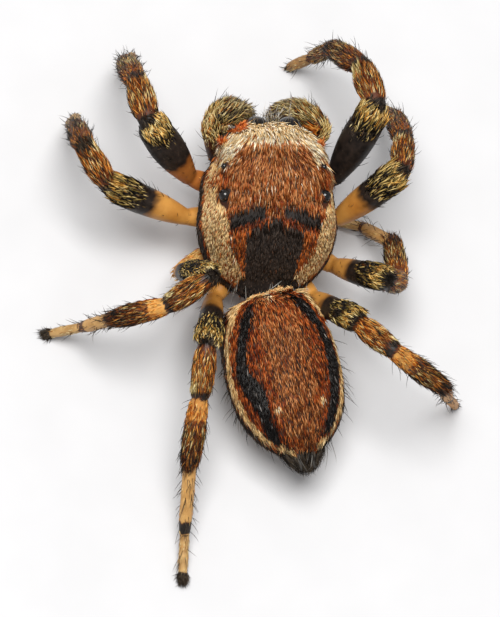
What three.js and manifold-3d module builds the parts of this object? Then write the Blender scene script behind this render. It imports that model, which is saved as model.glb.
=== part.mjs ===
// Jumping spider (male Evarcha type), life size, in millimetres.
// +Z is up, the spider looks along -Y and its left side is +X.
// The solids follow the outline of the coat: hairs and scales are not modelled here.

import * as THREE from "three";
import Module from "manifold-3d";

const wasm = await Module();
wasm.setup();

const RAD = Math.PI / 180;
const GAP = 0.015; // clearance left between neighbouring bodies
const V = (x, y, z) => new THREE.Vector3(x, y, z);

// ---------------------------------------------------------------- sizes

const BODY_PITCH = 13; // nose-up pitch of the head and thorax, degrees
const MARGIN_HEIGHT = 0.95; // height of the carapace margin over the floor, mid length

const CARAPACE = {
  front: -1.2, // station of the face, measured from mid length
  rear: 1.31, // station of the rear margin
  margin: 0.06, // height of the lower edge
  // stations along the carapace: position, half width, crown height
  stations: [
    [-1.2, 0.44, 0.84],
    [-1.12, 0.58, 0.94],
    [-0.96, 0.77, 1.01],
    [-0.56, 0.95, 1.08],
    [-0.1, 1.02, 1.13],
    [0.25, 1.06, 1.12],
    [0.6, 1.01, 0.95],
    [0.9, 0.87, 0.66],
    [1.12, 0.65, 0.42],
    [1.24, 0.47, 0.33],
    [1.31, 0.3, 0.28],
  ],
};
// Cross section of the carapace: share of half width, share of crown height.
const CARAPACE_SECTION = [
  [0, 1],
  [0.38, 0.995],
  [0.66, 0.96],
  [0.8, 0.85],
  [0.88, 0.66],
  [0.95, 0.44],
  [1, 0.24],
  [0.9, 0.04],
];

const EYES = {
  // station along the body, offset from the midline, height, radius
  ame: [-1.08, 0.235, 0.6, 0.205],
  ale: [-0.96, 0.61, 0.69, 0.125],
  pme: [-0.55, 0.735, 0.96, 0.045],
  ple: [-0.1, 0.74, 1.0, 0.1],
};

const CHELICERA = { station: -1.0, offset: 0.2, top: 0.03, length: 0.66, wide: 0.17, deep: 0.18 };
const STERNUM = { station: 0.12, height: -0.4, length: 1.05, width: 0.62, thickness: 0.14 };
const PEDICEL = { radius: 0.11, from: [0, 1.275, 0.86], to: [0.02, 1.325, 0.88] };

const ABDOMEN = {
  front: [0.05, 1.35, 1.02],
  rear: [-0.44, 3.7, 0.84],
  halfWidth: 0.87,
  halfHeight: 0.66,
  // share of length, share of the greatest half width
  profile: [
    [0, 0.46],
    [0.03, 0.66],
    [0.09, 0.81],
    [0.2, 0.93],
    [0.32, 0.98],
    [0.46, 1],
    [0.61, 0.98],
    [0.77, 0.87],
    [0.88, 0.69],
    [0.95, 0.5],
    [1, 0.3],
  ],
};
const SPINNERETS = { length: 0.24, baseRadius: 0.2, tipRadius: 0.1 };

// Palps: joints of the arm, then the tip of the bulb-like last joint.
const PALP_ARM_RADII = [0.13, 0.17, 0.17, 0.165];
const PALP_TIP_RADII = [0.165, 0.19, 0.13];
const PALPS = {
  left: {
    arm: [[0.66, -0.84, 0.92], [0.81, -1.12, 1.58], [0.63, -1.38, 1.54], [0.42, -1.54, 1.24]],
    tip: [0.24, -1.58, 0.72],
  },
  right: {
    arm: [[-0.66, -0.82, 0.92], [-0.82, -1.06, 1.58], [-0.61, -1.33, 1.55], [-0.48, -1.53, 1.24]],
    tip: [-0.34, -1.6, 0.72],
  },
};

// Leg joints: where each leg leaves the body, and the length of its joints.
const LEG_ROOTS = {
  // station along the body, offset from the midline, height
  1: [-0.5, 1.08, -0.03],
  2: [0.09, 1.14, -0.05],
  3: [0.8, 1.08, 0.0],
  4: [1.28, 0.74, 0.05],
};
const STRETCHED_ROOT = { name: "leg_left_3", at: [0.9, 1.22, 0.02] };
const COXA_INNER = {
  1: [-0.28, 0.36, -0.3],
  2: [0.06, 0.4, -0.32],
  3: [0.4, 0.38, -0.3],
  4: [0.7, 0.28, -0.24],
};
const COXA_RADII = [0.13, 0.17, 0.16];
const LEG_LENGTHS = {
  // femur, patella, tibia, metatarsus, tarsus
  1: [1.46, 0.77, 0.97, 0.77, 0.5],
  2: [1.33, 0.7, 0.8, 0.68, 0.52],
  3: [1.3, 0.72, 0.82, 0.88, 0.6],
  4: [1.38, 0.78, 1.0, 1.07, 0.66],
};
const LEG_RADII = {
  // femur at its root and at the knee, its swelling, then patella, tibia, foot
  1: [0.18, 0.26, 0.1, 0.24, 0.235, 0.225],
  2: [0.19, 0.24, 0.08, 0.235, 0.225, 0.225],
  3: [0.17, 0.22, 0.06, 0.235, 0.225, 0.225],
  4: [0.16, 0.22, 0.05, 0.235, 0.225, 0.225],
};
const FOOT_HEIGHT = 0.1; // centre of the rounded foot end over the floor

// Pose of each leg: heading of every joint (0 = forward, + = to its left)
// and rise over the level, both in degrees. The last rise follows from the floor.
const LEG_POSES = {
  leg_left_1: { heading: [62, 9, 0, -20, -40], rise: [54, -18, -54, -70] },
  leg_left_2: { heading: [77, 39, 0, -5, -30], rise: [24, 28, -50, -66] },
  leg_left_3: { heading: [203, 121, 96, 70, 87], rise: [67, -22, -29, -66] },
  leg_left_4: { heading: [163, 171, 173, 180, 178], rise: [42, -11, -30, -40] },
  leg_right_1: { heading: [-33, 10, 26, 55, 88], rise: [57, -18, -51, -75] },
  leg_right_2: { heading: [-65, -13, -3, 12, 22], rise: [52, -25, -47, -62] },
  leg_right_3: { heading: [-138, -64, -2, 33, 72], rise: [55, -58, -28, -50] },
  leg_right_4: { heading: [-151, -142, -116, -67, -72], rise: [54, 28, -28, -72] },
};

// ---------------------------------------------------------------- helpers

/** Point given along, across and over the pitched body, in the model frame. */
function onBody(along, across, over) {
  const c = Math.cos(BODY_PITCH * RAD);
  const s = Math.sin(BODY_PITCH * RAD);
  return V(across, along * c + over * s, over * c - along * s + MARGIN_HEIGHT);
}

/** Smooth value of a table of [key, value...] rows at one key. */
function sample(rows, key, column) {
  const last = rows.length - 1;
  if (key <= rows[0][0]) return rows[0][column];
  if (key >= rows[last][0]) return rows[last][column];
  let i = 0;
  while (rows[i + 1][0] < key) i += 1;
  const t = (key - rows[i][0]) / (rows[i + 1][0] - rows[i][0]);
  const at = (k) => rows[Math.max(0, Math.min(last, k))][column];
  const [a, b, c, d] = [at(i - 1), at(i), at(i + 1), at(i + 2)];
  const curve = b + 0.5 * t * (c - a + t * (2 * a - 5 * b + 4 * c - d + t * (3 * (b - c) + d - a)));
  return THREE.MathUtils.clamp(curve, Math.min(b, c) - 0.01, Math.max(b, c) + 0.01);
}

/** Closed body through a list of rings, each with the same number of points. */
function skin(rings) {
  const n = rings[0].length;
  const positions = [];
  const index = [];
  for (const ring of rings) {
    for (const p of ring) positions.push(p.x, p.y, p.z);
  }
  for (let r = 0; r + 1 < rings.length; r += 1) {
    for (let k = 0; k < n; k += 1) {
      const a = r * n + k;
      const b = r * n + ((k + 1) % n);
      index.push(a, b, a + n, b, b + n, a + n);
    }
  }
  const cap = (ring, start, flip) => {
    const centre = V(0, 0, 0);
    for (const p of ring) centre.addScaledVector(p, 1 / n);
    const c = positions.length / 3;
    positions.push(centre.x, centre.y, centre.z);
    for (let k = 0; k < n; k += 1) {
      const a = start + k;
      const b = start + ((k + 1) % n);
      if (flip) index.push(c, b, a);
      else index.push(c, a, b);
    }
  };
  cap(rings[0], 0, true);
  cap(rings[rings.length - 1], (rings.length - 1) * n, false);
  return outward(positions, index);
}

/** Geometry from positions and triangles, turned so its faces look out. */
function outward(positions, index) {
  const p = (i) => V(positions[3 * i], positions[3 * i + 1], positions[3 * i + 2]);
  let volume = 0;
  for (let i = 0; i < index.length; i += 3) {
    volume += p(index[i]).dot(p(index[i + 1]).cross(p(index[i + 2])));
  }
  if (volume < 0) {
    for (let i = 0; i < index.length; i += 3) {
      [index[i], index[i + 1]] = [index[i + 1], index[i]];
    }
  }
  const geometry = new THREE.BufferGeometry();
  geometry.setAttribute("position", new THREE.Float32BufferAttribute(positions, 3));
  geometry.setIndex(index);
  return geometry;
}

function toSolid(geometry) {
  const g = geometry.clone();
  g.deleteAttribute("normal");
  g.deleteAttribute("uv");
  const merged = mergeEqual(g);
  return new wasm.Manifold(new wasm.Mesh({
    numProp: 3,
    vertProperties: Float32Array.from(merged.positions),
    triVerts: Uint32Array.from(merged.index),
  }));
}

/** Joins equal vertices so a body is watertight for a cut. */
function mergeEqual(geometry) {
  const source = geometry.getAttribute("position");
  const order = geometry.getIndex() ? geometry.getIndex().array : source.array.map((_, i) => i);
  const seen = new Map();
  const positions = [];
  const map = [];
  for (let i = 0; i < source.count; i += 1) {
    const p = [source.getX(i), source.getY(i), source.getZ(i)];
    const key = p.map((v) => Math.round(v * 1e5)).join(",");
    if (!seen.has(key)) {
      seen.set(key, positions.length / 3);
      positions.push(...p);
    }
    map.push(seen.get(key));
  }
  const index = [];
  for (let i = 0; i < order.length; i += 3) {
    const t = [map[order[i]], map[order[i + 1]], map[order[i + 2]]];
    if (t[0] !== t[1] && t[1] !== t[2] && t[0] !== t[2]) index.push(...t);
  }
  return { positions, index };
}

function fromSolid(solid) {
  const mesh = solid.getMesh();
  const positions = [];
  for (let i = 0; i < mesh.vertProperties.length; i += mesh.numProp) {
    positions.push(...mesh.vertProperties.slice(i, i + 3));
  }
  return outward(positions, Array.from(mesh.triVerts));
}

/** Unit vector from a heading and a rise, both in degrees. */
function direction(heading, rise) {
  const level = Math.cos(rise * RAD);
  return V(Math.sin(heading * RAD) * level, -Math.cos(heading * RAD) * level, Math.sin(rise * RAD));
}

const STEPS = [0, 0.25, 0.5, 0.75, 1];
const SIDES = 9;

/**
 * Rounded limb along a chain of points. Its ends are cut on the planes whose
 * normals are given, so that neighbours meet face to face; radiusAt takes the
 * share of the whole length. A rounded tip replaces the cut when tip is true.
 */
function limb(points, radiusAt, { startNormal, endNormal, tip = false, flatten = 1 } = {}) {
  const count = points.length - 1;
  const directions = [];
  const lengths = [];
  for (let k = 0; k < count; k += 1) {
    const d = points[k + 1].clone().sub(points[k]);
    lengths.push(d.length());
    directions.push(d.normalize());
  }
  const total = lengths.reduce((a, b) => a + b, 0);
  const rings = [];
  let travelled = 0;
  for (let k = 0; k < count; k += 1) {
    const d = directions[k];
    const side = Math.abs(d.z) > 0.999 ? V(1, 0, 0) : d.clone().cross(V(0, 0, 1)).normalize();
    const over = side.clone().cross(d).normalize();
    const before = k === 0 ? startNormal : directions[k - 1].clone().add(d).normalize();
    const after = k === count - 1 ? endNormal : d.clone().add(directions[k + 1]).normalize();
    for (const t of STEPS) {
      if (k > 0 && t === 0) continue;
      const radius = radiusAt((travelled + t * lengths[k]) / total);
      const centre = points[k].clone().addScaledVector(d, t * lengths[k]);
      const lean = t < 0.5 ? before : after;
      const fade = Math.max(0, 1 - Math.min(t, 1 - t) / 0.45);
      rings.push(ring(centre, side, over, radius, radius * flatten, d, lean, fade));
    }
    travelled += lengths[k];
    if (k === count - 1 && tip) {
      const end = points[count];
      const radius = radiusAt(1);
      for (const turn of [30, 62]) {
        const r = radius * Math.cos(turn * RAD);
        const centre = end.clone().addScaledVector(d, radius * Math.sin(turn * RAD));
        rings.push(ring(centre, side, over, r, r * flatten, d, null, 0));
      }
    }
  }
  return skin(rings);
}

/** One ring of a limb; lean is the normal of the plane it is sheared onto. */
function ring(centre, side, over, wide, high, along, lean, fade) {
  const points = [];
  for (let k = 0; k < SIDES; k += 1) {
    const a = (2 * Math.PI * (k + 0.5)) / SIDES;
    const offset = side.clone().multiplyScalar(wide * Math.cos(a));
    offset.addScaledVector(over, high * Math.sin(a));
    const shear = lean && fade > 0 ? (-offset.dot(lean) / along.dot(lean)) * fade : 0;
    points.push(centre.clone().add(offset).addScaledVector(along, shear));
  }
  return points;
}

/** Chain of points pulled back by the clearance at both ends. */
function trimmed(points, start = GAP / 2, end = GAP / 2) {
  const out = points.map((p) => p.clone());
  const n = out.length - 1;
  out[0].addScaledVector(out[1].clone().sub(out[0]).normalize(), start);
  out[n].addScaledVector(out[n - 1].clone().sub(out[n]).normalize(), end);
  return out;
}

const model = new THREE.Group();
model.name = "jumping_spider";
const material = new THREE.MeshStandardMaterial({ color: 0x8a5a35 });

function add(name, geometry) {
  const mesh = new THREE.Mesh(geometry, material);
  mesh.name = name;
  model.add(mesh);
}

// ---------------------------------------------------------------- head and thorax

function carapaceBody() {
  const half = new THREE.CatmullRomCurve3(CARAPACE_SECTION.map(([x, z]) => V(x, 0, z)));
  const outline = half.getSpacedPoints(10);
  const rings = [];
  const count = 16;
  for (let i = 0; i <= count; i += 1) {
    const along = THREE.MathUtils.lerp(CARAPACE.front, CARAPACE.rear, i / count);
    const width = sample(CARAPACE.stations, along, 1);
    const crown = sample(CARAPACE.stations, along, 2) - CARAPACE.margin;
    const points = [];
    const place = (x, z) => points.push(onBody(along, x * width, CARAPACE.margin + z * crown));
    for (const p of outline) place(p.x, Math.max(p.z, 0.0));
    place(0.5, 0);
    place(0, 0);
    place(-0.5, 0);
    for (let k = outline.length - 1; k > 0; k -= 1) place(-outline[k].x, Math.max(outline[k].z, 0.0));
    rings.push(points);
  }
  return skin(rings);
}

function eyeBall(radius, centre) {
  const wide = radius > 0.15 ? 14 : 10;
  const geometry = new THREE.SphereGeometry(radius, wide, wide * 0.7);
  geometry.rotateX(Math.PI / 2);
  geometry.translate(centre.x, centre.y, centre.z);
  return geometry;
}

let carapace = toSolid(carapaceBody());
for (const [kind, [along, across, over, radius]] of Object.entries(EYES)) {
  for (const [sideName, sign] of [["left", 1], ["right", -1]]) {
    const centre = onBody(along, sign * across, over);
    carapace = carapace.subtract(toSolid(eyeBall(radius + GAP, centre)));
    add(`eye_${kind}_${sideName}`, eyeBall(radius, centre));
  }
}
add("carapace", fromSolid(carapace));

for (const [sideName, sign] of [["left", 1], ["right", -1]]) {
  const { station, offset, top, length, wide, deep } = CHELICERA;
  const from = onBody(station, sign * offset, top);
  const to = onBody(station - 0.1, sign * (offset - 0.01), top - length);
  const radiusAt = (t) => wide * (1 - 0.28 * t ** 3);
  const up = onBody(0, 0, 1).sub(onBody(0, 0, 0));
  add(`chelicera_${sideName}`, limb([from, to], radiusAt, {
    startNormal: up, endNormal: up, flatten: deep / wide,
  }));
}

{
  const { station, height, length, width, thickness } = STERNUM;
  const rings = [];
  for (const [level, share] of [[0, 0.8], [0.3, 1], [0.7, 1], [1, 0.8]]) {
    const points = [];
    for (let k = 0; k < 16; k += 1) {
      const a = (2 * Math.PI * k) / 16;
      const along = station - (length / 2) * share * Math.cos(a);
      const across = (width / 2) * share * Math.sin(a) * (1 + 0.12 * Math.cos(a));
      points.push(onBody(along, across, height - thickness / 2 + thickness * level));
    }
    rings.push(points);
  }
  add("sternum", skin(rings));
}

add("pedicel", limb([V(...PEDICEL.from), V(...PEDICEL.to)], () => PEDICEL.radius));

// ---------------------------------------------------------------- abdomen

const abdomenFront = V(...ABDOMEN.front);
const abdomenRear = V(...ABDOMEN.rear);
const abdomenAxis = abdomenRear.clone().sub(abdomenFront).normalize();

{
  const side = abdomenAxis.clone().cross(V(0, 0, 1)).normalize();
  const over = side.clone().cross(abdomenAxis).normalize();
  const rings = [];
  const stations = 18;
  for (let i = 0; i <= stations; i += 1) {
    const t = 0.5 - 0.5 * Math.cos((Math.PI * i) / stations);
    const share = sample(ABDOMEN.profile, t, 1);
    const points = [];
    for (let k = 0; k < 22; k += 1) {
      const a = (2 * Math.PI * k) / 22;
      const p = abdomenFront.clone().lerp(abdomenRear, t);
      p.addScaledVector(side, ABDOMEN.halfWidth * share * Math.cos(a));
      p.addScaledVector(over, ABDOMEN.halfHeight * share * Math.sin(a));
      points.push(p);
    }
    rings.push(points);
  }
  add("abdomen", skin(rings));
}

{
  const start = abdomenRear.clone().addScaledVector(abdomenAxis, GAP);
  const end = start.clone().addScaledVector(abdomenAxis, SPINNERETS.length);
  const { baseRadius, tipRadius } = SPINNERETS;
  add("spinnerets", limb([start, end], (t) => THREE.MathUtils.lerp(baseRadius, tipRadius, t), {
    startNormal: abdomenAxis, endNormal: abdomenAxis, tip: true,
  }));
}

// ---------------------------------------------------------------- palps

for (const [sideName, { arm, tip }] of Object.entries(PALPS)) {
  const joints = arm.map((p) => V(...p));
  const end = V(...tip);
  const wrist = joints[3];
  const mitre = wrist.clone().sub(joints[2]).normalize().add(end.clone().sub(wrist).normalize());
  mitre.normalize();
  const armRadius = (t) => sample(PALP_ARM_RADII.map((r, i) => [i / 3, r]), t, 1);
  const tipRadius = (t) => sample(PALP_TIP_RADII.map((r, i) => [i / 2, r]), t, 1);
  const first = joints[1].clone().sub(joints[0]).normalize();
  add(`palp_${sideName}`, limb(trimmed(joints, 0), armRadius, {
    startNormal: first, endNormal: mitre,
  }));
  add(`palp_bulb_${sideName}`, limb(trimmed([wrist, end], GAP / 2, 0), tipRadius, {
    startNormal: mitre, endNormal: null, tip: true,
  }));
}

// ---------------------------------------------------------------- legs

for (const [name, { heading, rise }] of Object.entries(LEG_POSES)) {
  const pair = Number(name.slice(-1));
  const sign = name.includes("left") ? 1 : -1;
  const [along, across, over] = name === STRETCHED_ROOT.name ? STRETCHED_ROOT.at : LEG_ROOTS[pair];
  const root = onBody(along, sign * across, over);
  const [innerAlong, innerAcross, innerOver] = COXA_INNER[pair];
  const inner = onBody(innerAlong, sign * innerAcross, innerOver);
  const lengths = LEG_LENGTHS[pair];
  const joints = [root];
  const headings = [];
  for (let k = 0; k < 5; k += 1) {
    const from = joints[k];
    const floorRise = Math.asin((FOOT_HEIGHT - from.z) / lengths[k]) / RAD;
    const d = direction(heading[k], k < 4 ? rise[k] : floorRise);
    headings.push(d);
    joints.push(from.clone().addScaledVector(d, lengths[k]));
  }
  const coxaWay = root.clone().sub(inner).normalize();
  const mitres = [coxaWay.clone().add(headings[0]).normalize()];
  for (let k = 0; k < 3; k += 1) mitres.push(headings[k].clone().add(headings[k + 1]).normalize());

  const [rootRadius, kneeRadius, swelling, patella, tibia, foot] = LEG_RADII[pair];
  const swell = (t) => swelling * Math.sin(Math.PI * t ** 0.85);
  const femurRadius = (t) => THREE.MathUtils.lerp(rootRadius, kneeRadius, t) + swell(t);
  const bow = (r) => (t) => r * (0.9 + 0.4 * t * (1 - t));
  const coxaRadius = (t) => sample(COXA_RADII.map((r, i) => [i / 2, r]), t, 1);

  add(`${name}_coxa`, limb(trimmed([inner, root], 0), coxaRadius, {
    startNormal: coxaWay, endNormal: mitres[0],
  }));
  const parts = [["femur", femurRadius], ["patella", bow(patella)], ["tibia", bow(tibia)]];
  parts.forEach(([part, radiusAt], k) => {
    add(`${name}_${part}`, limb(trimmed([joints[k], joints[k + 1]]), radiusAt, {
      startNormal: mitres[k], endNormal: mitres[k + 1],
    }));
  });

  const footBody = limb(trimmed([joints[3], joints[4], joints[5]], GAP / 2, 0), () => foot, {
    startNormal: mitres[3], endNormal: null, tip: true,
  });
  const p = footBody.getAttribute("position");
  for (let i = 0; i < p.count; i += 1) p.setZ(i, Math.max(0, p.getZ(i)));
  add(`${name}_foot`, footBody);
}

// ---------------------------------------------------------------- frame

model.updateMatrixWorld(true);
const box = new THREE.Box3().setFromObject(model);
const shift = V(-(box.min.x + box.max.x) / 2, -(box.min.y + box.max.y) / 2, -box.min.z);
for (const mesh of model.children) mesh.geometry.translate(shift.x, shift.y, shift.z);

export default model;
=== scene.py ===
"""Life-size still model of a male jumping spider, dressed for display.

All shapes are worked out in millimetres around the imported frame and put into
the scene in metres. One skin covers the whole body, and tufts of hair made of
solid mesh grow from it. Skin and hair take their markings from the same rules.
"""

import functools
import logging
import math
from dataclasses import dataclass, field
from enum import Enum
from typing import Any, Callable, Optional, Sequence, Union

import bpy
import numpy as np
from bpy.types import ColorRamp, Material, NodeSocket, Object
from mathutils import Matrix, Vector, kdtree


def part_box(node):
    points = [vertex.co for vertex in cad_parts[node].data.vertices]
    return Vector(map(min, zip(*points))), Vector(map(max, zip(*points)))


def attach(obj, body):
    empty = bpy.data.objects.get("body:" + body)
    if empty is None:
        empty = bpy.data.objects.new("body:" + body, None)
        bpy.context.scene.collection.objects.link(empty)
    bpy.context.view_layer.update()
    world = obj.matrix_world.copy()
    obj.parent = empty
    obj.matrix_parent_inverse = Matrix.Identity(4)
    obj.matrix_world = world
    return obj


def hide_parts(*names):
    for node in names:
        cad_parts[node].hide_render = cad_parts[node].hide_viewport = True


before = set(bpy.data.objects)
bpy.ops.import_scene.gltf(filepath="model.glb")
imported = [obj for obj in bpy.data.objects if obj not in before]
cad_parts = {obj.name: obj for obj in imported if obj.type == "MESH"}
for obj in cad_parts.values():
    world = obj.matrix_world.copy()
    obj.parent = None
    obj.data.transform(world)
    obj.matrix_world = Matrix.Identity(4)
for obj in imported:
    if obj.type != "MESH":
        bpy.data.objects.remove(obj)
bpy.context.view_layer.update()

LOG = logging.getLogger("jumping_spider")
MM = 0.001
BODY = "root"
UP = np.array([0.0, 0.0, 1.0])
ALONG, ACROSS, OVER = np.eye(3)
SIDES = {"left": 1, "right": -1}
HAIR_CLEARANCE = 0.004
SHELL_CLEARANCE = 0.003
ROOT_CLEARANCE = 0.02
RING_STEP = 0.04
END_ROUNDING = 0.75

Array = np.ndarray
Table = Sequence[tuple[float, float]]
Colour = tuple[float, float, float, float]
Ends = tuple[Colour, Colour]


# ------------------------------------------------------------------ numbers


def srgb(red: int, green: int, blue: int) -> Colour:
    """Turns a colour as it looks on a screen, 0 to 255, into light values.

    Args:
        red: Red of the colour.
        green: Green of the colour.
        blue: Blue of the colour.

    Returns:
        The linear colour with full alpha.
    """
    def light(value: int) -> float:
        """Returns one channel as a light value."""
        share = value / 255.0
        return share / 12.92 if share <= 0.04045 else ((share + 0.055) / 1.055) ** 2.4

    return (light(red), light(green), light(blue), 1.0)


def rise(low: float, high: float, values: Array) -> Array:
    """Returns a smooth rise from 0 at low to 1 at high."""
    share = np.clip((values - low) / (high - low), 0.0, 1.0)
    return share * share * (3.0 - 2.0 * share)


def between(values: Array, low: Any, high: Any, soft: float) -> Array:
    """Returns 1 where values lie from low to high, fading over soft around both ends."""
    return rise(-soft, soft, values - low) * (1.0 - rise(-soft, soft, values - high))


def most(*marks: Any) -> Array:
    """Returns the greatest of some marks at each point."""
    return functools.reduce(np.maximum, marks)


def circle(sides: int) -> Array:
    """Returns even turns around a circle, in radians."""
    return np.linspace(0.0, 2.0 * math.pi, sides, endpoint=False)


def read(table: Table, keys: Array) -> Array:
    """Returns the value of a table of (key, value) rows at each key."""
    rows = np.asarray(table, dtype=float)
    return np.interp(keys, rows[:, 0], rows[:, 1])


def smooth_read(table: Table, keys: Array) -> Array:
    """Reads a table of (key, value) rows through a smooth curve.

    Args:
        table: Rows of key and value, in order.
        keys: Where the curve is read.

    Returns:
        One value for each key.
    """
    rows = np.asarray(table, dtype=float)
    x, y = rows[:, 0], rows[:, 1]
    slope = np.gradient(y, x)
    i = np.clip(np.searchsorted(x, keys) - 1, 0, len(x) - 2)
    span = x[i + 1] - x[i]
    t = np.clip((keys - x[i]) / span, 0.0, 1.0)
    start, end = (1 + 2 * t) * (1 - t) ** 2, t * t * (3 - 2 * t)
    bend = t * (1 - t) ** 2 * span * slope[i] - t * t * (1 - t) * span * slope[i + 1]
    return start * y[i] + end * y[i + 1] + bend


def read_one(table: Table, key: float) -> float:
    """Returns the value of the smooth curve at one key."""
    return float(smooth_read(table, np.array([key]))[0])


def unit(vectors: Array) -> Array:
    """Returns the vectors at length 1."""
    size = np.linalg.norm(vectors, axis=-1, keepdims=True)
    return vectors / np.maximum(size, 1e-12)


def dot(a: Array, b: Array) -> Array:
    """Returns the dot product of matching rows."""
    return np.sum(a * b, axis=-1)


def flatten_on(vectors: Array, normals: Array) -> Array:
    """Returns unit vectors laid on the surface that has these normals."""
    return unit(vectors - normals * dot(vectors, normals)[..., None])


def unrolled(share: Array, across: Array, over: Array) -> Array:
    """Returns places on the unrolled surface from the share of length and the way around."""
    return np.stack([share, np.arctan2(across, over) / (2 * math.pi) + 0.5], axis=-1)


def ripple(points: Array, size: float, seed: int) -> Array:
    """Gives a smooth, irregular wave through space, from about -1 to 1.

    Args:
        points: Places in millimetres.
        size: Rough distance from crest to crest.
        seed: Picks one of many waves.

    Returns:
        One value for each point.
    """
    rng = np.random.default_rng(seed)
    total = np.zeros(len(points))
    for octave in (1.0, 1.9, 3.3):
        way = unit(rng.normal(size=(3, 3))) * (2.0 * math.pi * octave / size)
        phase = rng.uniform(0.0, 2.0 * math.pi, 3)
        total += np.sin(points @ way.T + phase).sum(axis=1) / (2.2 * octave)
    return total / 2.0


# ------------------------------------------------------------------ body frame


@dataclass(frozen=True)
class BodyAxes:
    """Along, across and over the head and thorax, which are pitched nose up."""

    pitch: float = math.radians(13.0)
    margin_height: float = 0.95
    anchor_eye: str = "eye_ple_left"
    anchor: tuple[float, float, float] = (-0.1, 0.74, 1.0)

    @property
    def origin(self) -> Array:
        """Returns the place of zero along, across and over, in the working frame."""
        return np.array([0.0, 0.0, self.margin_height])

    def shift(self) -> Array:
        """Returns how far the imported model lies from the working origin.

        Returns:
            The way in millimetres.
        """
        low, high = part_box(self.anchor_eye)
        centre = np.array((low + high) / 2.0) / MM
        return centre - self.raw(np.array([self.anchor]))[0]

    def turn(self, vectors: Array) -> Array:
        """Turns directions into the working frame.

        Args:
            vectors: Directions as along, across and over.

        Returns:
            The same directions in the working frame.
        """
        c, s = math.cos(self.pitch), math.sin(self.pitch)
        along, across, over = np.moveaxis(np.asarray(vectors, dtype=float), -1, 0)
        return np.stack([across, along * c + over * s, over * c - along * s], axis=-1)

    def turn_back(self, vectors: Array) -> Array:
        """Turns directions out of the working frame.

        Args:
            vectors: Directions in the working frame.

        Returns:
            The same directions as along, across and over.
        """
        c, s = math.cos(self.pitch), math.sin(self.pitch)
        y, z = vectors[:, 1], vectors[:, 2]
        return np.stack([y * c - z * s, vectors[:, 0], y * s + z * c], axis=-1)

    def raw(self, local: Array) -> Array:
        """Returns points given along, across and over, in the working frame."""
        return self.turn(local) + self.origin

    def local(self, points: Array) -> tuple[Array, Array, Array]:
        """Returns how far along, across and over the body each point lies."""
        return tuple(self.turn_back(points - self.origin).T)


AXES = BodyAxes()
SHIFT = AXES.shift()


# ------------------------------------------------------------------ surfaces


def triangulated(faces: list[list[int]]) -> Array:
    """Returns faces of three or four corners as triangles."""
    fans = [(face[0], face[k], face[k + 1]) for face in faces for k in range(1, len(face) - 1)]
    return np.array(fans, dtype=np.int32)


@dataclass
class Loft:
    """Closed body through rings of points, in millimetres."""

    rings: Array

    @property
    def size(self) -> int:
        """Returns the number of corner points, with one more at each end."""
        return self.rings.shape[0] * self.rings.shape[1] + 2

    def mesh(self) -> tuple[Array, list[list[int]]]:
        """Closes the rings into a body.

        Returns:
            The corner points, and the faces with their fronts outside.
        """
        count, sides = self.rings.shape[:2]
        after = [(k + 1) % sides for k in range(sides)]
        ends = np.stack([self.rings[0].mean(axis=0), self.rings[-1].mean(axis=0)])
        points = np.concatenate([self.rings.reshape(-1, 3), ends])
        faces = []
        for start in range(0, (count - 1) * sides, sides):
            for k, b in enumerate(after):
                faces.append([start + k, start + b, start + b + sides, start + k + sides])
        base = (count - 1) * sides
        for k, b in enumerate(after):
            faces.append([self.size - 2, b, k])
            faces.append([self.size - 1, base + k, base + b])
        a, b, c = (points[triangulated(faces)[:, k]] for k in range(3))
        if np.sum(a * np.cross(b, c)) < 0.0:
            faces = [face[::-1] for face in faces]
        return points, faces


def joined(lofts: Sequence[Loft]) -> tuple[Array, list[list[int]]]:
    """Puts closed bodies together into one mesh.

    Args:
        lofts: The bodies.

    Returns:
        All corner points, and all faces numbered through.
    """
    points, faces, offset = [], [], 0
    for loft in lofts:
        corners, own = loft.mesh()
        points.append(corners)
        faces += [[corner + offset for corner in face] for face in own]
        offset += len(corners)
    return np.concatenate(points), faces


def axes_between(start: Array, end: Array) -> tuple[Array, float, Array, Array]:
    """Finds the ways along, to the side of and over a straight stretch.

    Args:
        start: Where the stretch starts.
        end: Where it ends.

    Returns:
        The long axis, the length, and the ways to the side and over.
    """
    way = end - start
    length = float(np.linalg.norm(way))
    axis = way / length
    side = unit(np.cross(axis, UP)) if abs(axis[2]) < 0.999 else np.array([1.0, 0.0, 0.0])
    return axis, length, side, unit(np.cross(side, axis))


def ring_around(centre: Array, side: Array, over: Array, wide: float, high: float,
                sides: int) -> Array:
    """Makes an oval ring of points.

    Args:
        centre: Middle of the ring.
        side: Way to its side.
        over: Way over it.
        wide: Half its width.
        high: Half its height.
        sides: How many points it has.

    Returns:
        The points.
    """
    around = circle(sides)[:, None]
    return centre + np.cos(around) * side * wide + np.sin(around) * over * high


@dataclass
class Look:
    """What skin and coat are like at a set of points.

    Marks run from 0 to 1. Lengths are in millimetres and lift in degrees.
    """

    chart: Array
    lie: Array
    pale: Array
    dark: Array
    warm: Array
    amount: Array
    length: Array
    width: Array
    lift: Array
    tone: Array

    @classmethod
    def plain(cls, chart: Array, lie: Array, length: float = 0.1, width: float = 0.013,
              lift: float = 14.0, amount: float = 1.0) -> "Look":
        """Starts a look with no marks and an even coat.

        Args:
            chart: Place of each point on the unrolled surface, 0 to 1.
            lie: Direction in which the coat lies.
            length: Length of the hairs.
            width: Width of the hairs.
            lift: Angle of the hairs to the skin.
            amount: Share of the full coat that grows here.

        Returns:
            The look, ready for its marks.
        """
        count = len(chart)

        def even(value: float) -> Array:
            """Returns the value at every point."""
            return np.full(count, value)

        return cls(chart, lie, even(0.0), even(0.0), even(0.0), even(amount),
                   even(length), even(width), even(lift), even(0.0))


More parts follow.
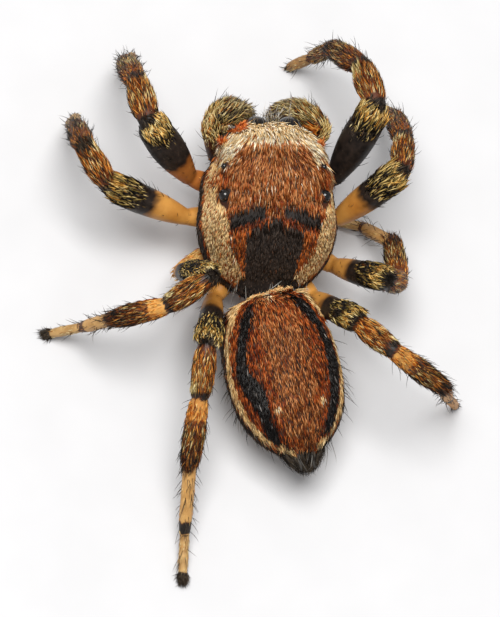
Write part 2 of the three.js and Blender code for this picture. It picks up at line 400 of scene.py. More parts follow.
class Part:
    """One stretch of the body that the skin covers."""

    name: str

    def lofts(self) -> list[Loft]:
        """Returns the closed bodies that the skin is drawn over."""
        raise NotImplementedError

    def look(self, points: Array, normals: Array) -> Look:
        """Returns the look of the surface at the points."""
        raise NotImplementedError


def ball(centre: Array, radius: float, stretch: Array = np.ones(3), sides: int = 20) -> Loft:
    """Makes a rounded lump.

    Args:
        centre: Its middle.
        radius: Its size.
        stretch: Share of the size along, across and over the body.
        sides: Points around each ring.

    Returns:
        The closed lump.
    """
    turns = np.linspace(0.06, math.pi - 0.06, sides // 2 + 2)
    around = circle(sides)
    ring = np.stack([np.zeros(sides), np.cos(around), np.sin(around)], axis=-1)
    rings = np.array([ring * math.sin(a) - np.array([math.cos(a), 0, 0]) for a in turns])
    return Loft(centre + AXES.turn(rings * radius * stretch))


# ------------------------------------------------------------------ head and thorax


@dataclass(frozen=True)
class EyePlace:
    """Place and size of one pair of eyes: along, across, over and radius."""

    along: float
    across: float
    over: float
    radius: float
    facing: tuple[float, float, float]
    shift: float = 0.0

    def centre(self, sign: int) -> Array:
        """Returns the middle of the eye on one side."""
        return AXES.raw(np.array([self.along, sign * self.across + self.shift, self.over]))

    def axis(self, sign: int) -> Array:
        """Returns the way the eye on one side looks."""
        along, across, over = self.facing
        return unit(AXES.turn(np.array([along, sign * across, over])))


EYES: dict[str, EyePlace] = {
    "ame": EyePlace(-1.12, 0.245, 0.61, 0.205, (-1.0, 0.1, 0.06), -0.045),
    "ale": EyePlace(-0.97, 0.6, 0.57, 0.125, (-0.86, 0.5, 0.12)),
    "pme": EyePlace(-0.55, 0.735, 0.96, 0.045, (-0.1, 0.9, 0.42)),
    "ple": EyePlace(-0.125, 0.735, 1.00, 0.093, (0.12, 0.92, 0.4)),
}


@dataclass
class Carapace(Part):
    """Shield over head and thorax, with the face at its front."""

    name: str = "carapace"
    front: float = -1.165
    rear: float = 1.27
    margin: float = 0.085
    coat_depth: float = 0.035
    mounds: dict[str, float] = field(
        default_factory=lambda: {"ame": 0.21, "ale": 0.14, "pme": 0.055, "ple": 0.1})
    half_width: Table = (
        (-1.2, 0.44), (-1.12, 0.58), (-0.96, 0.77), (-0.56, 0.95), (-0.1, 1.02),
        (0.25, 1.06), (0.6, 1.0), (0.9, 0.84), (1.12, 0.61), (1.24, 0.43), (1.31, 0.28),
    )
    crown: Table = (
        (-1.2, 0.84), (-1.12, 0.94), (-0.96, 1.01), (-0.56, 1.08), (-0.1, 1.13),
        (0.25, 1.12), (0.6, 0.95), (0.9, 0.66), (1.12, 0.42), (1.24, 0.33), (1.31, 0.28),
    )
    section: Table = (
        (0.0, 1.0), (0.38, 0.995), (0.66, 0.96), (0.8, 0.85), (0.88, 0.66),
        (0.95, 0.44), (1.0, 0.24), (0.9, 0.04),
    )
    strip_edge: Table = ((-1.2, 0.3), (-0.6, 0.6), (-0.4, 0.75))
    field_edge: Table = (
        (-1.2, 0.45), (-0.9, 0.7), (-0.5, 0.77), (-0.1, 0.82), (0.2, 0.7), (0.65, 0.6),
        (1.0, 0.38), (1.25, 0.2),
    )
    patch_edge: Table = (
        (0.15, -0.04), (0.2, 0.03), (0.28, 0.09), (0.36, 0.29), (0.42, 0.42), (0.6, 0.43),
        (0.8, 0.39), (0.98, 0.38), (1.1, 0.44), (1.2, 0.6), (1.3, 0.7),
    )
    flank_edge: Table = ((-1.2, 0.3), (-0.9, 0.4), (0.45, 0.5), (0.9, 0.35), (1.3, 0.28))

    def outline(self) -> Array:
        """Returns half the cross section as shares of width and height.

        Returns:
            Points from the crown to the margin.
        """
        rows = np.array(self.section)
        reach = np.concatenate([[0.0], np.cumsum(np.linalg.norm(np.diff(rows, axis=0), axis=1))])
        at = np.linspace(0.0, reach[-1], 34)
        x = smooth_read(list(zip(reach, rows[:, 0])), at)
        z = smooth_read(list(zip(reach, rows[:, 1])), at)
        return np.stack([x, z], axis=-1)

    def ring(self, along: float, share: float = 1.0) -> Array:
        """Makes one ring of the shield.

        Args:
            along: Station of the ring.
            share: Share of the full section, below 1 to close the ends.

        Returns:
            The points of the ring.
        """
        width = read_one(self.half_width, along) - self.coat_depth
        crown = read_one(self.crown, along) - self.coat_depth
        half = self.outline()
        tuck = 0.13 * rise(-0.35, -0.85, np.array([along]))
        half[:, 0] *= 1.0 - tuck * rise(0.9, 0.5, half[:, 1])
        height = crown - self.margin
        left = np.stack([half[:, 0] * width, self.margin + half[:, 1] * height], axis=-1)
        under = np.array([[x * width, self.margin] for x in (0.6, 0.2, -0.2, -0.6)])
        right = left[:0:-1] * np.array([-1.0, 1.0])
        plane = np.concatenate([left, under, right])
        middle = np.array([0.0, self.margin + 0.48 * height])
        plane = middle + (plane - middle) * share
        dip = 0.03 * math.exp(-((along - 0.16) / 0.16) ** 2)
        plane[:, 1] -= dip * np.exp(-((plane[:, 0] / 0.25) ** 2)) * (plane[:, 1] > 0.8)
        stations = np.full(len(plane), along)
        return AXES.raw(np.stack([stations, plane[:, 0], plane[:, 1]], axis=-1))

    def lofts(self) -> list[Loft]:
        """Draws the shield, its eye mounds, the trunk and the roots of the palps.

        Returns:
            The closed bodies.
        """
        ends = ((0.035, 0.93), (0.05, 0.8), (0.056, 0.5), (0.057, 0.12))
        rings = [self.ring(self.front - d * 0.5, s) for d, s in reversed(ends)]
        rings += [self.ring(a) for a in np.linspace(self.front, self.rear, 64)]
        rings += [self.ring(self.rear + d * 0.4, s) for d, s in ends]
        bodies = [Loft(np.array(rings))]
        for kind, size in self.mounds.items():
            place = EYES[kind]
            for sign in (1, -1):
                back = place.centre(sign) - place.axis(sign) * place.radius * 0.62
                bodies.append(ball(back, size))
        trunk = AXES.raw(np.array([0.12, 0.0, -0.08]))
        bodies.append(ball(trunk, 1.0, np.array([1.02, 0.5, 0.3])))
        for across in (0.15, -0.15):
            root = AXES.raw(np.array([-0.62, across, -0.3]))
            bodies.append(ball(root, 0.14, np.array([1.3, 0.8, 1.0])))
        return bodies

    def spot(self, along: Array, side: Array, at: tuple[float, float], size: float) -> Array:
        """Returns a soft round mark at one place on both sides."""
        far = np.hypot(along - at[0], side - at[1])
        return 1.0 - rise(size * 0.6, size * 1.25, far)

    def lie(self, along: Array, across: Array, over: Array, facing: Array,
            outer: Array) -> Array:
        """Returns the way the hairs lie, along, across and over the body.

        Args:
            along: Stations of the points.
            across: How far to the left they are.
            over: How high they are.
            facing: Directions out of the skin, along, across and over.
            outer: Mark of the pale side fields.

        Returns:
            One direction for each point.
        """
        face = rise(0.55, 0.85, -facing[:, 0]) * (along < -0.9)
        front = 1.0 - rise(-0.75, -0.4, along)
        back = np.stack([1.0 - 0.1 * outer, (0.14 + 1.3 * front) * across, -0.4 * outer], axis=-1)
        brow = ((1.0 - rise(-1.16, -1.1, along)) * rise(0.55, 0.7, over))[:, None]
        ahead = np.stack([-np.ones(len(along)), 0.4 * across, 0.25 * np.ones(len(along))], -1)
        back = back * (1.0 - brow) + ahead * brow
        over_eyes = rise(0.7, 0.8, over)
        across_face = np.array([-0.2, 0.0, -1.0]) * (1.0 - over_eyes)[:, None]
        across_face += np.array([-0.25, 0.0, 1.0]) * over_eyes[:, None]
        return back * (1.0 - face)[:, None] + across_face * face[:, None]

    def look(self, points: Array, normals: Array) -> Look:
        """Returns the markings and the coat of head and thorax.

        Args:
            points: Places on the skin.
            normals: Directions out of the skin there.

        Returns:
            The look at those places.
        """
        along, across, over = AXES.local(points)
        facing = AXES.turn_back(normals)
        side = np.abs(across) + 0.02 * ripple(points, 0.33, 11)
        station = along + 0.022 * ripple(points, 0.3, 12)
        level = over + 0.02 * ripple(points, 0.25, 13)
        edge = smooth_read(self.field_edge, station)
        outer = rise(-0.02, 0.06, side - edge) * (along > -0.8)
        face = rise(0.55, 0.85, -facing[:, 0]) * (along < -0.9)
        brow = (1.0 - rise(-1.13, -1.06, along)) * (over > 0.72)
        chart = unrolled((along + 1.3) / 2.7, across, over - 0.35)
        lie = flatten_on(AXES.turn(self.lie(along, across, over, facing, outer)), normals)
        look = Look.plain(chart, lie, 0.17, 0.015, 14.0)

        fringe = 1.0 - rise(-0.05, 0.05, station + 0.89 - 0.14 * side ** 2)
        strip = between(side, read(self.strip_edge, station), 0.73, 0.03)
        strip *= 1.0 - rise(-0.56, -0.46, station)
        band = rise(-0.025, 0.025, side - edge) * rise(-0.86, -0.74, station)
        band *= 1.0 - 0.6 * rise(1.0, 1.12, station)
        flank_edge = read(self.flank_edge, station)
        flank = 1.0 - rise(-0.03, 0.03, level - flank_edge)
        seam = between(level, flank_edge - 0.01, flank_edge + 0.04, 0.02) * (along > -0.8)
        slant = 0.1 + 0.3 * np.clip(side - 0.14, 0.0, 0.55)
        thick = 0.092 + 0.028 * rise(0.15, 0.45, side)
        bars = between(side, 0.14, 0.67, 0.025) * between(station - slant, -thick, thick, 0.035)
        thorax = rise(-0.03, 0.03, read(self.patch_edge, station) - side) * (station > 0.15)
        black = np.maximum(bars, thorax)
        embers = between(station, slant + thick, 1.1, 0.05) * (1.0 - band)
        tufts = most(
            self.spot(along, side, (-1.12, 0.56), 0.09),
            self.spot(along, side, (-0.92, 0.83), 0.12),
        )
        ember_spot = self.spot(along, side, (-0.36, 0.78), 0.13)
        around_eyes, near_eyes = np.zeros((2, len(points)))
        for place in EYES.values():
            for sign in (1, -1):
                far = np.linalg.norm(points - place.centre(sign), axis=1)
                around_eyes = np.maximum(around_eyes, 1 - rise(1.04, 1.18, far / place.radius))
                near_eyes = np.maximum(near_eyes, 1 - rise(1.5, 1.9, far / place.radius))
        clypeus = face * (over < 0.42)
        face = face * (over < 0.72)
        # The tone lift on the black thorax patch is painted sheen: lighter grey-brown hairs stand
        # in for the soft sheen on its velvet hair.
        look.tone = 0.3 * band - 0.1 * flank + 0.3 * thorax - 0.34 * bars
        look.tone += 0.34 * embers * (side > 0.36) + 0.13 * fringe
        below = (over < 0.12) | (facing[:, 2] < -0.5)
        pale = most(0.9 * fringe * (1 - face), 0.85 * strip, 0.8 * band, clypeus)
        pale *= (1 - tufts) * (1 - 0.6 * ember_spot) * (1 - flank) * (1 - 0.9 * seam) * (1 - thorax)
        crown = between(station, -0.8, 0.1, 0.1) * (side < 0.7) * (1 - black)
        look.pale = np.where(below, 0.0, np.maximum(pale, 0.05 * crown))
        look.warm = most(
            0.85 * embers, tufts, 0.7 * ember_spot, seam, around_eyes * face * 0.9,
            0.16 + 0.25 * rise(-0.15, 0.1, station), np.where(below, 0.55, 0.0), band,
            0.4 * fringe,
        )
        # Painted shade: a share of dark hairs stands in for the shaded gaps between the hairs.
        shade_gaps = 0.1 + 0.08 * np.maximum(fringe, band) + 0.1 * embers
        look.dark = most(bars, thorax, flank * (1 - clypeus),
                         0.9 * around_eyes * (1 - face), shade_gaps * (1 - tufts))
        look.dark = np.where(below, 0.35, look.dark) * (1 - 0.9 * clypeus)
        look.amount = 0.8 + 0.2 * most(tufts, fringe, band, near_eyes)
        look.amount = np.where(flank > 0.5, 0.3, look.amount)
        look.amount = np.where(clypeus > 0.5, 1.0, look.amount)
        look.amount = np.where(below, 0.06, look.amount)
        ahead = between(side, 0.12, 0.7, 0.03) * between(station - slant, -0.22, -0.06, 0.03)
        look.length = (0.17 - 0.05 * band - 0.05 * black + 0.05 * brow - 0.045 * ahead
                       + 0.1 * clypeus + 0.08 * tufts)
        cheek = (across < 0) * rise(0.5, 0.7, side) * between(along, -1.05, -0.45, 0.08)
        look.length += 0.08 * cheek
        look.lift = (13.0 + 8.0 * brow + 5.0 * fringe + 5.0 * band + 26.0 * tufts
                     - 3.0 * black + 24.0 * cheek)
        look.width = 0.017 + 0.001 * pale - 0.002 * black + 0.003 * tufts
        return look


# ------------------------------------------------------------------ abdomen


@dataclass(frozen=True)
class Ribbon:
    """A ribbon of colour along one side of the abdomen, in degrees from the back line."""

    middle: Table
    half: Table


@dataclass
class Abdomen(Part):
    """Abdomen with its stripes, pale rim and white spots."""

    name: str = "abdomen"
    front: tuple[float, float, float] = (0.05, 1.35, 1.02)
    rear: tuple[float, float, float] = (-0.44, 3.7, 0.84)
    half_width: float = 0.87
    half_height: float = 0.66
    coat_depth: float = 0.035
    profile: Table = (
        (0.0, 0.44), (0.012, 0.56), (0.03, 0.66), (0.06, 0.74), (0.1, 0.81), (0.2, 0.915),
        (0.32, 0.965), (0.46, 0.985), (0.61, 0.965), (0.77, 0.855), (0.88, 0.675),
        (0.95, 0.485), (1.0, 0.29),
    )
    stripes: tuple[Ribbon, Ribbon] = (
        Ribbon(middle=((0.03, 32), (0.2, 45), (0.42, 55), (0.64, 44), (0.88, 50)),
               half=((0.02, -2), (0.07, 4), (0.25, 5), (0.48, 10), (0.64, 10), (0.72, 6),
                     (0.84, 8), (0.9, -2))),
        Ribbon(middle=((0.03, 28), (0.2, 46), (0.42, 54), (0.7, 45), (0.88, 42)),
               half=((0.02, -2), (0.07, 6), (0.25, 6), (0.45, 10), (0.7, 6), (0.84, 6),
                     (0.9, -2))),
    )
    rims: tuple[Ribbon, Ribbon] = (
        Ribbon(middle=((0.0, 58), (0.1, 63), (0.45, 81), (0.7, 76), (0.9, 64), (1.0, 43)),
               half=((0.0, 16), (0.12, 7), (0.5, 7), (0.85, 8), (1.0, 19))),
        Ribbon(middle=((0.0, 58), (0.15, 71), (0.45, 78), (0.7, 65), (0.9, 56), (1.0, 43)),
               half=((0.0, 16), (0.2, 9), (0.5, 9), (0.75, 6), (0.9, 8), (1.0, 17))),
    )

    def axes(self) -> tuple[Array, float, Array, Array]:
        """Returns the long axis, its length, and the ways to the side and over."""
        return axes_between(np.array(self.front), np.array(self.rear))

    def place(self, points: Array) -> tuple[Array, Array]:
        """Returns the share of length and the angle from the back line, in degrees.

        Args:
            points: Places in millimetres.

        Returns:
            The share and the angle of each place.
        """
        axis, length, side, over = self.axes()
        way = points - np.array(self.front)
        angle = np.arctan2(way @ side / self.half_width, way @ over / self.half_height)
        share = way @ axis / length
        return share + self.corner(way @ side, share) / length, np.degrees(angle)

    @staticmethod
    def corner(across: Array, share: Array) -> Array:
        """Returns how far the front corner on the right stands forward."""
        return 0.05 * rise(0.1, 0.5, -across) * (1.0 - rise(0.0, 0.2, share))

    def lofts(self) -> list[Loft]:
        """Draws the abdomen and the narrow waist in front of it.

        Returns:
            The closed bodies.
        """
        axis, length, side, over = self.axes()
        sides, inset = 72, self.coat_depth
        rings = []
        for t in 0.5 - 0.5 * np.cos(np.linspace(0.0, math.pi, 84)):
            full = read_one(self.profile, t)
            wide = self.half_width * full - inset
            high = self.half_height * full - inset * 0.8
            centre = np.array(self.front) + axis * (t * (length - 2 * inset) + inset)
            forward = self.corner(np.cos(circle(sides)) * wide, np.full(sides, t))
            ring = ring_around(centre, side, over, wide, high, sides)
            rings.append(ring - forward[:, None] * axis)
        start, end = rings[0], rings[-1]
        closing = ((0.022, 0.86), (0.034, 0.6), (0.038, 0.25))
        head = [start.mean(0) + (start - start.mean(0)) * s - axis * d for d, s in closing]
        tail = [end.mean(0) + (end - end.mean(0)) * s + axis * d for d, s in closing]
        waist_from, waist_to = np.array([0.0, 1.12, 0.84]), np.array([0.05, 1.5, 0.93])
        waist = limb_loft(waist_from, waist_to, ((0.0, 0.12), (0.5, 0.095), (1.0, 0.12)), 14)
        return [Loft(np.array(head[::-1] + rings + tail)), waist]

    @staticmethod
    def inside(ribbons: tuple[Ribbon, Ribbon], share: Array, turn: Array,
               soft: float) -> tuple[Array, Array]:
        """Marks a ribbon of colour and says how far out of it each point lies.

        Args:
            ribbons: The ribbon on the left and the one on the right.
            share: Share of length of each point.
            turn: Degrees from the back line, above 0 on the left.
            soft: Half the width of the soft ends, in degrees.

        Returns:
            The mark, and the degrees beyond the outer edge.
        """
        middle, half = (
            np.where(turn > 0, *(smooth_read(getattr(ribbon, key), share) for ribbon in ribbons))
            for key in ("middle", "half")
        )
        off = np.abs(turn)
        return between(off, middle - half, middle + half, soft), off - middle - half

    def look(self, points: Array, normals: Array) -> Look:
        """Returns the markings and the coat of the abdomen.

        Args:
            points: Places on the skin.
            normals: Directions out of the skin there.

        Returns:
            The look at those places.
        """
        axis, _, side_way, _ = self.axes()
        share, angle = self.place(points)
        t = share + 0.006 * ripple(points, 0.3, 21)
        turn = angle + 1.5 * ripple(points, 0.22, 22)
        off = np.abs(turn)
        edge = np.where(angle < -15.0, 0.022, 0.004)
        collar = (1.0 - rise(edge, edge + 0.012, share)) * (np.abs(angle) < 88)
        lie = axis + side_way * (0.12 * np.sign(angle) * rise(0.0, 60.0, np.abs(angle)))[:, None]
        lie = np.where(collar[:, None] > 0.5, -axis + 0.5 * UP, lie)
        chart = np.stack([(share + 0.06) / 1.12, angle / 360.0 + 0.5], axis=-1)
        look = Look.plain(chart, flatten_on(lie, normals), 0.155, 0.0145, 14.0)

        stripe, _ = self.inside(self.stripes, t, turn, 1.5)
        rim, beyond = self.inside(self.rims, t, turn, 1.2)
        rim *= 1.0 - 0.8 * between(t, 0.885, 0.915, 0.01)
        patch = rim * (t > 0.9)
        outside = rise(-1.0, 3.0, beyond) * rise(0.02, 0.05, t)
        belly = rise(100.0, 118.0, off)
        back = (1 - outside) * (1 - belly)
        spots = 1 - rise(0.5, 1.2, np.hypot((t - 0.727) / 0.021, (off - 27.5) / 5.0))
        glow = 1 - rise(0.5, 1.5, np.hypot((t - 0.7) / 0.05, (off - 24.0) / 9.0))
        notch = (1 - rise(0.04, 0.1, t)) * (1 - rise(4.0, 11.0, np.abs(turn - 6.0) + 60.0 * t))
        tail = rise(0.972, 0.99, share)
        beside = rise(16.0, 34.0, off) * back * (1 - rim)
        look.pale = most(0.95 * rim, 0.95 * collar, spots, 0.9 * notch)
        look.pale *= (1 - tail) * (1 - stripe)
        look.pale = np.maximum(look.pale, 0.5 * belly)
        middle = 1 - rise(5.0, 14.0, np.abs(np.abs(turn) - 180.0) + 8.0)
        # The even share of dark hairs is painted shade for the gaps between hairs; the extra share
        # beside the stripes is the darker hair there.
        look.dark = most(
            stripe, 0.95 * outside * (1 - belly), tail, 0.14 + 0.14 * beside,
            0.45 * belly * middle, 0.16 * rim,
        )
        look.dark *= 1 - 0.8 * most(spots, collar, patch)
        look.warm = most(
            0.1 + 0.8 * beside, 0.45 * (1 - rise(0.1, 0.35, t)) * back,
            0.4 * rise(0.78, 0.95, t) * back,
        )
        look.warm = np.maximum(look.warm * (1 - spots), 0.6 * glow * (1 - spots) + 0.5 * spots)
        look.warm = np.where(np.maximum(rim, collar) > 0.5, 1.0, look.warm)
        look.tone = (0.2 * glow + 0.06 * rim + 0.3 * spots + 0.3 * patch - 0.3 * stripe
                     - 0.1 * beside)
        look.amount = 0.85 - 0.25 * belly + 0.15 * np.maximum(stripe, rim)
        look.length = (0.155 + 0.01 * rim - 0.02 * stripe - 0.03 * belly
                       + collar * np.where(angle < -15.0, 0.035, -0.035)
                       - 0.04 * spots)
        look.lift = (13.0 + 5.0 * rim + 12.0 * outside * (1 - belly) - 4.0 * stripe
                     + 26.0 * collar)
        look.width = 0.017 + 0.002 * np.maximum(rim, spots)
        return look


# ------------------------------------------------------------------ limbs


def limb_loft(start: Array, end: Array, profile: Table, sides: int = 22) -> Loft:
    """Makes one rounded joint of a limb.

    Args:
        start: Middle of the near joint.
        end: Middle of the far joint.
        profile: Rows of share of length and radius.
        sides: Points around each ring.

    Returns:
        The closed joint, rounded off at both ends.
    """
    _, length, side, over = axes_between(start, end)
    first, last = (row[1] * END_ROUNDING / length for row in (profile[0], profile[-1]))
    turns = np.linspace(0.15, math.pi / 2, 5)
    stations = [(-first * math.cos(a), math.sin(a)) for a in turns[:-1]]
    stations += [(t, 1.0) for t in np.linspace(0.0, 1.0, max(6, int(length / RING_STEP)))]
    stations += [(1.0 + last * math.cos(a), math.sin(a)) for a in turns[-2::-1]]
    rings = []
    for t, share in stations:
        radius = read_one(profile, min(max(t, 0.0), 1.0)) * share
        rings.append(ring_around(start + (end - start) * t, side, over, radius, radius, sides))
    return Loft(np.array(rings))


class Joint(Enum):
    """Joints of a leg, from the body outwards."""

    COXA = "coxa"
    FEMUR = "femur"
    PATELLA = "patella"
    TIBIA = "tibia"
    METATARSUS = "metatarsus"
    TARSUS = "tarsus"


@dataclass(frozen=True)
class LegSizes:
    """Sizes of one pair of legs, in millimetres."""

    root: tuple[float, float, float]
    inner: tuple[float, float, float]
    lengths: tuple[float, float, float, float, float]
    femur: Table
    patella: float
    tibia: float
    metatarsus: float
    tarsus: float
    bare_base: float
    scales_from: float


LEG_SIZES: dict[int, LegSizes] = {
    1: LegSizes((-0.5, 1.08, -0.03), (-0.28, 0.36, -0.3), (1.46, 0.77, 0.97, 0.77, 0.5),
                ((0, 0.13), (0.12, 0.17), (0.45, 0.25), (0.75, 0.25), (0.95, 0.2), (1, 0.15)),
                0.185, 0.16, 0.112, 0.085, 0.12, 0.64),
    2: LegSizes((0.09, 1.14, -0.05), (0.06, 0.4, -0.32), (1.33, 0.7, 0.8, 0.68, 0.52),
                ((0, 0.125), (0.15, 0.165), (0.5, 0.215), (0.78, 0.215), (0.95, 0.18), (1, 0.14)),
                0.165, 0.15, 0.105, 0.08, 0.42, 0.57),
    3: LegSizes((0.8, 1.08, 0.0), (0.4, 0.38, -0.3), (1.3, 0.72, 0.82, 0.88, 0.6),
                ((0, 0.12), (0.15, 0.15), (0.5, 0.185), (0.78, 0.19), (0.95, 0.17), (1, 0.14)),
                0.165, 0.142, 0.102, 0.076, 0.34, 0.5),
    4: LegSizes((1.28, 0.74, 0.05), (0.7, 0.28, -0.24), (1.38, 0.78, 1.0, 1.07, 0.66),
                ((0, 0.12), (0.15, 0.15), (0.5, 0.18), (0.78, 0.19), (0.95, 0.17), (1, 0.14)),
                0.16, 0.142, 0.1, 0.074, 0.32, 0.5),
}
FEMUR_MARKS: dict[str, tuple[float, float]] = {
    "leg_left_1": (0.3, 0.7), "leg_left_3": (0.06, 0.2), "leg_right_1": (-0.3, 0.66),
}
STRETCHED_LEG = ("leg_left_3", (0.9, 1.22, 0.02))
FOOT_HEIGHT = 0.1
FOOT_DROP = 0.04

LEG_POSES: dict[str, tuple[tuple[float, ...], tuple[float, ...]]] = {
    "leg_left_1": ((62, 9, 0, -20, -40), (54, -18, -54, -70)),
    "leg_left_2": ((77, 39, 0, -5, -30), (24, 28, -50, -66)),
    "leg_left_3": ((203, 121, 96, 70, 87), (67, -22, -29, -66)),
    "leg_left_4": ((163, 171, 173, 180, 178), (42, -11, -30, -40)),
    "leg_right_1": ((-33, 10, 26, 55, 88), (57, -18, -51, -75)),
    "leg_right_2": ((-65, -13, -3, 12, 22), (52, -25, -47, -62)),
    "leg_right_3": ((-138, -64, -2, 33, 72), (55, -58, -28, -50)),
    "leg_right_4": ((-151, -142, -116, -67, -72), (54, 28, -28, -72)),
}


@dataclass
class LimbJoint(Part):
    """One joint of a leg or palp: a straight, rounded stretch of the skin."""

    name: str
    kind: Joint
    start: Array
    end: Array
    profile: Table
    pair: int
    sign: int
    sizes: Optional[LegSizes] = None

    def frame(self) -> tuple[Array, float, Array, Array]:
        """Returns the axis, its length, and the ways to the side and over."""
        return axes_between(self.start, self.end)

    def lofts(self) -> list[Loft]:
        """Returns the closed joint."""
        return [limb_loft(self.start, self.end, self.profile)]

    def place(self, points: Array) -> tuple[Array, Array, Array]:
        """Returns the share of length, how far on top, and how far to the front.

        Args:
            points: Places in millimetres.

        Returns:
            The three measures of each place.
        """
        axis, length, side, over = self.frame()
        way = points - self.start
        x, z = way @ side, way @ over
        size = np.maximum(np.hypot(x, z), 1e-9)
        return way @ axis / length, z / size, self.sign * x / size

    def look(self, points: Array, normals: Array) -> Look:
        """Returns the markings and the coat of this joint.

        Args:
            points: Places on the skin.
            normals: Directions out of the skin there.

        Returns:
            The look at those places.
        """
        t, top, front = self.place(points)
        chart = unrolled((t + 0.2) / 1.4, front, top)
        lie = flatten_on(np.broadcast_to(self.frame()[0], points.shape), normals)
        look = Look.plain(chart, lie, 0.13, 0.013, 15.0)
        share = t + 0.03 * ripple(points, 0.16, 31 + self.pair)
        getattr(JointMarks(self, look, share, top, front), self.kind.value)()
        return look


@dataclass
class JointMarks:
    """Marks of one joint of a leg: how far along, on top and to the front points lie."""

    limb: LimbJoint
    look: Look
    t: Array
    top: Array
    front: Array

    def coxa(self) -> None:
        """Leaves the coxa nearly bare, tan, and darker orange on the front legs."""
        limb, look, t = self.limb, self.look, self.t
        first = limb.pair == 1
        look.warm[:] = 1.0
        look.dark = 0.4 * between(t, 0.93, 1.2, 0.04)
        look.amount[:] = 0.5 if first else 0.05
        look.length[:] = 0.06
        if first and limb.sign < 0:
            look.dark[:] = 1.0
        if limb.name.startswith(STRETCHED_LEG[0]):
            look.amount[:] = 0.6
            look.pale[:] = 0.6
            look.length[:] = 0.12

    def femur(self) -> None:
        """Marks a bare tan base, a smooth black middle and a tuft of gold scales."""
        limb, look, t, top = self.limb, self.look, self.t, self.top
        base, start = FEMUR_MARKS.get(limb.name.rsplit("_", 1)[0],
                                      (limb.sizes.bare_base, limb.sizes.scales_from))
        bare = 1.0 - rise(base - 0.08, base + 0.2, t)
        look.warm = np.maximum(bare, 0.4 * between(t, base - 0.02, base + 0.2, 0.06))
        look.dark = rise(base - 0.04, base + 0.17, t)
        cover = rise(-0.35, 0.2, top) * rise(-0.1, 0.12, t - start - 0.12 * (1.0 - top))
        gold = cover * (1.0 - rise(1.0, 1.05, t))
        collar = rise(1.0, 1.05, t)
        edge = rise(0.84, 0.92, t) * gold
        look.pale = (0.34 if limb.pair < 3 else 0.28) * gold + 0.44 * edge
        look.amount = 0.05 + 0.6 * rise(base, base + 0.26, t) + 0.35 * gold
        look.length = 0.085 + 0.16 * gold - 0.07 * edge + 0.03 * collar
        look.width = 0.011 + 0.016 * gold
        look.lift = 7.0 + 7.0 * gold + 10.0 * edge
        look.warm = np.maximum(look.warm, 0.08 * gold + 0.3 * edge)
        look.tone = 0.3 * edge - 0.36 * gold - 0.2 * collar

    def patella(self) -> None:
        """Marks orange-brown hair between dark joints, with a pale tuft in front."""
        limb, look, t, top, front = self.limb, self.look, self.t, self.top, self.front
        under = rise(0.25, -0.35, top)
        near, far = 1.0 - rise(0.03, 0.1, t), rise(0.92, 0.97, t)
        joint = np.maximum(near, far)
        look.dark = most(joint, 0.3 + 0.4 * under, 0.5 * rise(0.82, 0.95, t))
        tuft = between(t, 0.74, 0.97, 0.04) * rise(0.3, 0.6, front) * rise(-0.5, -0.1, top)
        look.pale = most(0.2 * between(t, 0.1, 0.9, 0.08) + 0.15 * rise(0.4, 0.9, front),
                         0.9 * tuft) * (1 - joint)
        rear = limb.pair > 2
        look.warm = (0.55 if rear else 0.4) * between(t, 0.08, 0.75, 0.1) * rise(-0.4, 0.2, top)
        worn = rear * rise(0.5, 0.85, t)
        look.length = 0.19 - 0.05 * near - (0.04 + 0.06 * rear) * far - 0.07 * worn
        look.tone = 0.2 * tuft
        look.width = 0.0135 + 0.006 * tuft
        look.lift = 9.0 + 8.0 * tuft
        look.amount = 0.85 - 0.2 * joint

    def tibia(self) -> None:
        """Marks an orange ring, brown hair with gold streaks, and a dark end."""
        limb, look, t, top = self.limb, self.look, self.t, self.top
        under = rise(0.3, -0.2, top)
        ring = between(t, 0.01, 0.36, 0.03) * (1.0 if limb.pair > 2 else 0.5)
        joint = 1.0 - rise(-0.05, 0.01, t)
        end = rise(0.84, 0.93, t)
        look.dark = most((1.0 if limb.pair > 2 else 0.3) * joint, end * 0.6, 0.36 * (1 - ring),
                         (0.4 + 0.5 * rise(0.34, 0.5, t)) * under)
        bleak = limb.sign < 0 and limb.pair in (1, 3)
        look.warm = np.maximum((0.3 if bleak else 0.95) * ring, 0.16) * (1 - 0.5 * end)
        streaks = 0.26 if limb.pair > 1 and not bleak else 0.46
        look.pale = (0.14 * ring + streaks * between(t, 0.42, 0.86, 0.05)) * (1 - 0.7 * under)
        start = (limb.pair > 2) * (1.0 - rise(0.06, 0.16, t))
        look.length = 0.19 - 0.05 * ring - 0.1 * joint * (limb.pair > 2) - 0.02 * start
        look.tone = 0.14 * ring - 0.08 * (1 - ring)
        look.lift = 9.0 + 16.0 * under
        look.width = 0.0135 + 0.003 * ring + 0.003 * start
        look.amount = 0.85 - 0.15 * joint + 0.15 * start

    def metatarsus(self) -> None:
        """Marks a tan shaft with a dark ring at its far end, furrier on the front legs."""
        limb, look, t = self.limb, self.look, self.t
        ring = rise(0.82, 0.87, t) * (0.4, 0.4, 0.6, 1.0)[limb.pair - 1]
        furry = 1.0 if limb.pair < 3 else 0.0
        look.warm = 0.9 * (1 - ring) + 0.3 * ring - 0.55 * furry
        rusty = limb.pair == 4 and limb.sign < 0
        look.pale = (0.15 if rusty else 0.55) * between(t, 0.04, 0.86, 0.04)
        look.dark = most(0.8 * ring, 0.4 * (1 - rise(0.0, 0.06, t)), 0.04 + 0.26 * furry)
        look.length = 0.1 - 0.02 * ring + 0.04 * furry
        look.tone = 0.3 * (1 - ring) * (1 - furry)
        look.lift = 10.0 - 3.0 * ring + 4.0 * furry
        look.width[:] = 0.011
        look.amount = (0.4 if rusty else 0.24) + 0.5 * np.maximum(ring, furry)

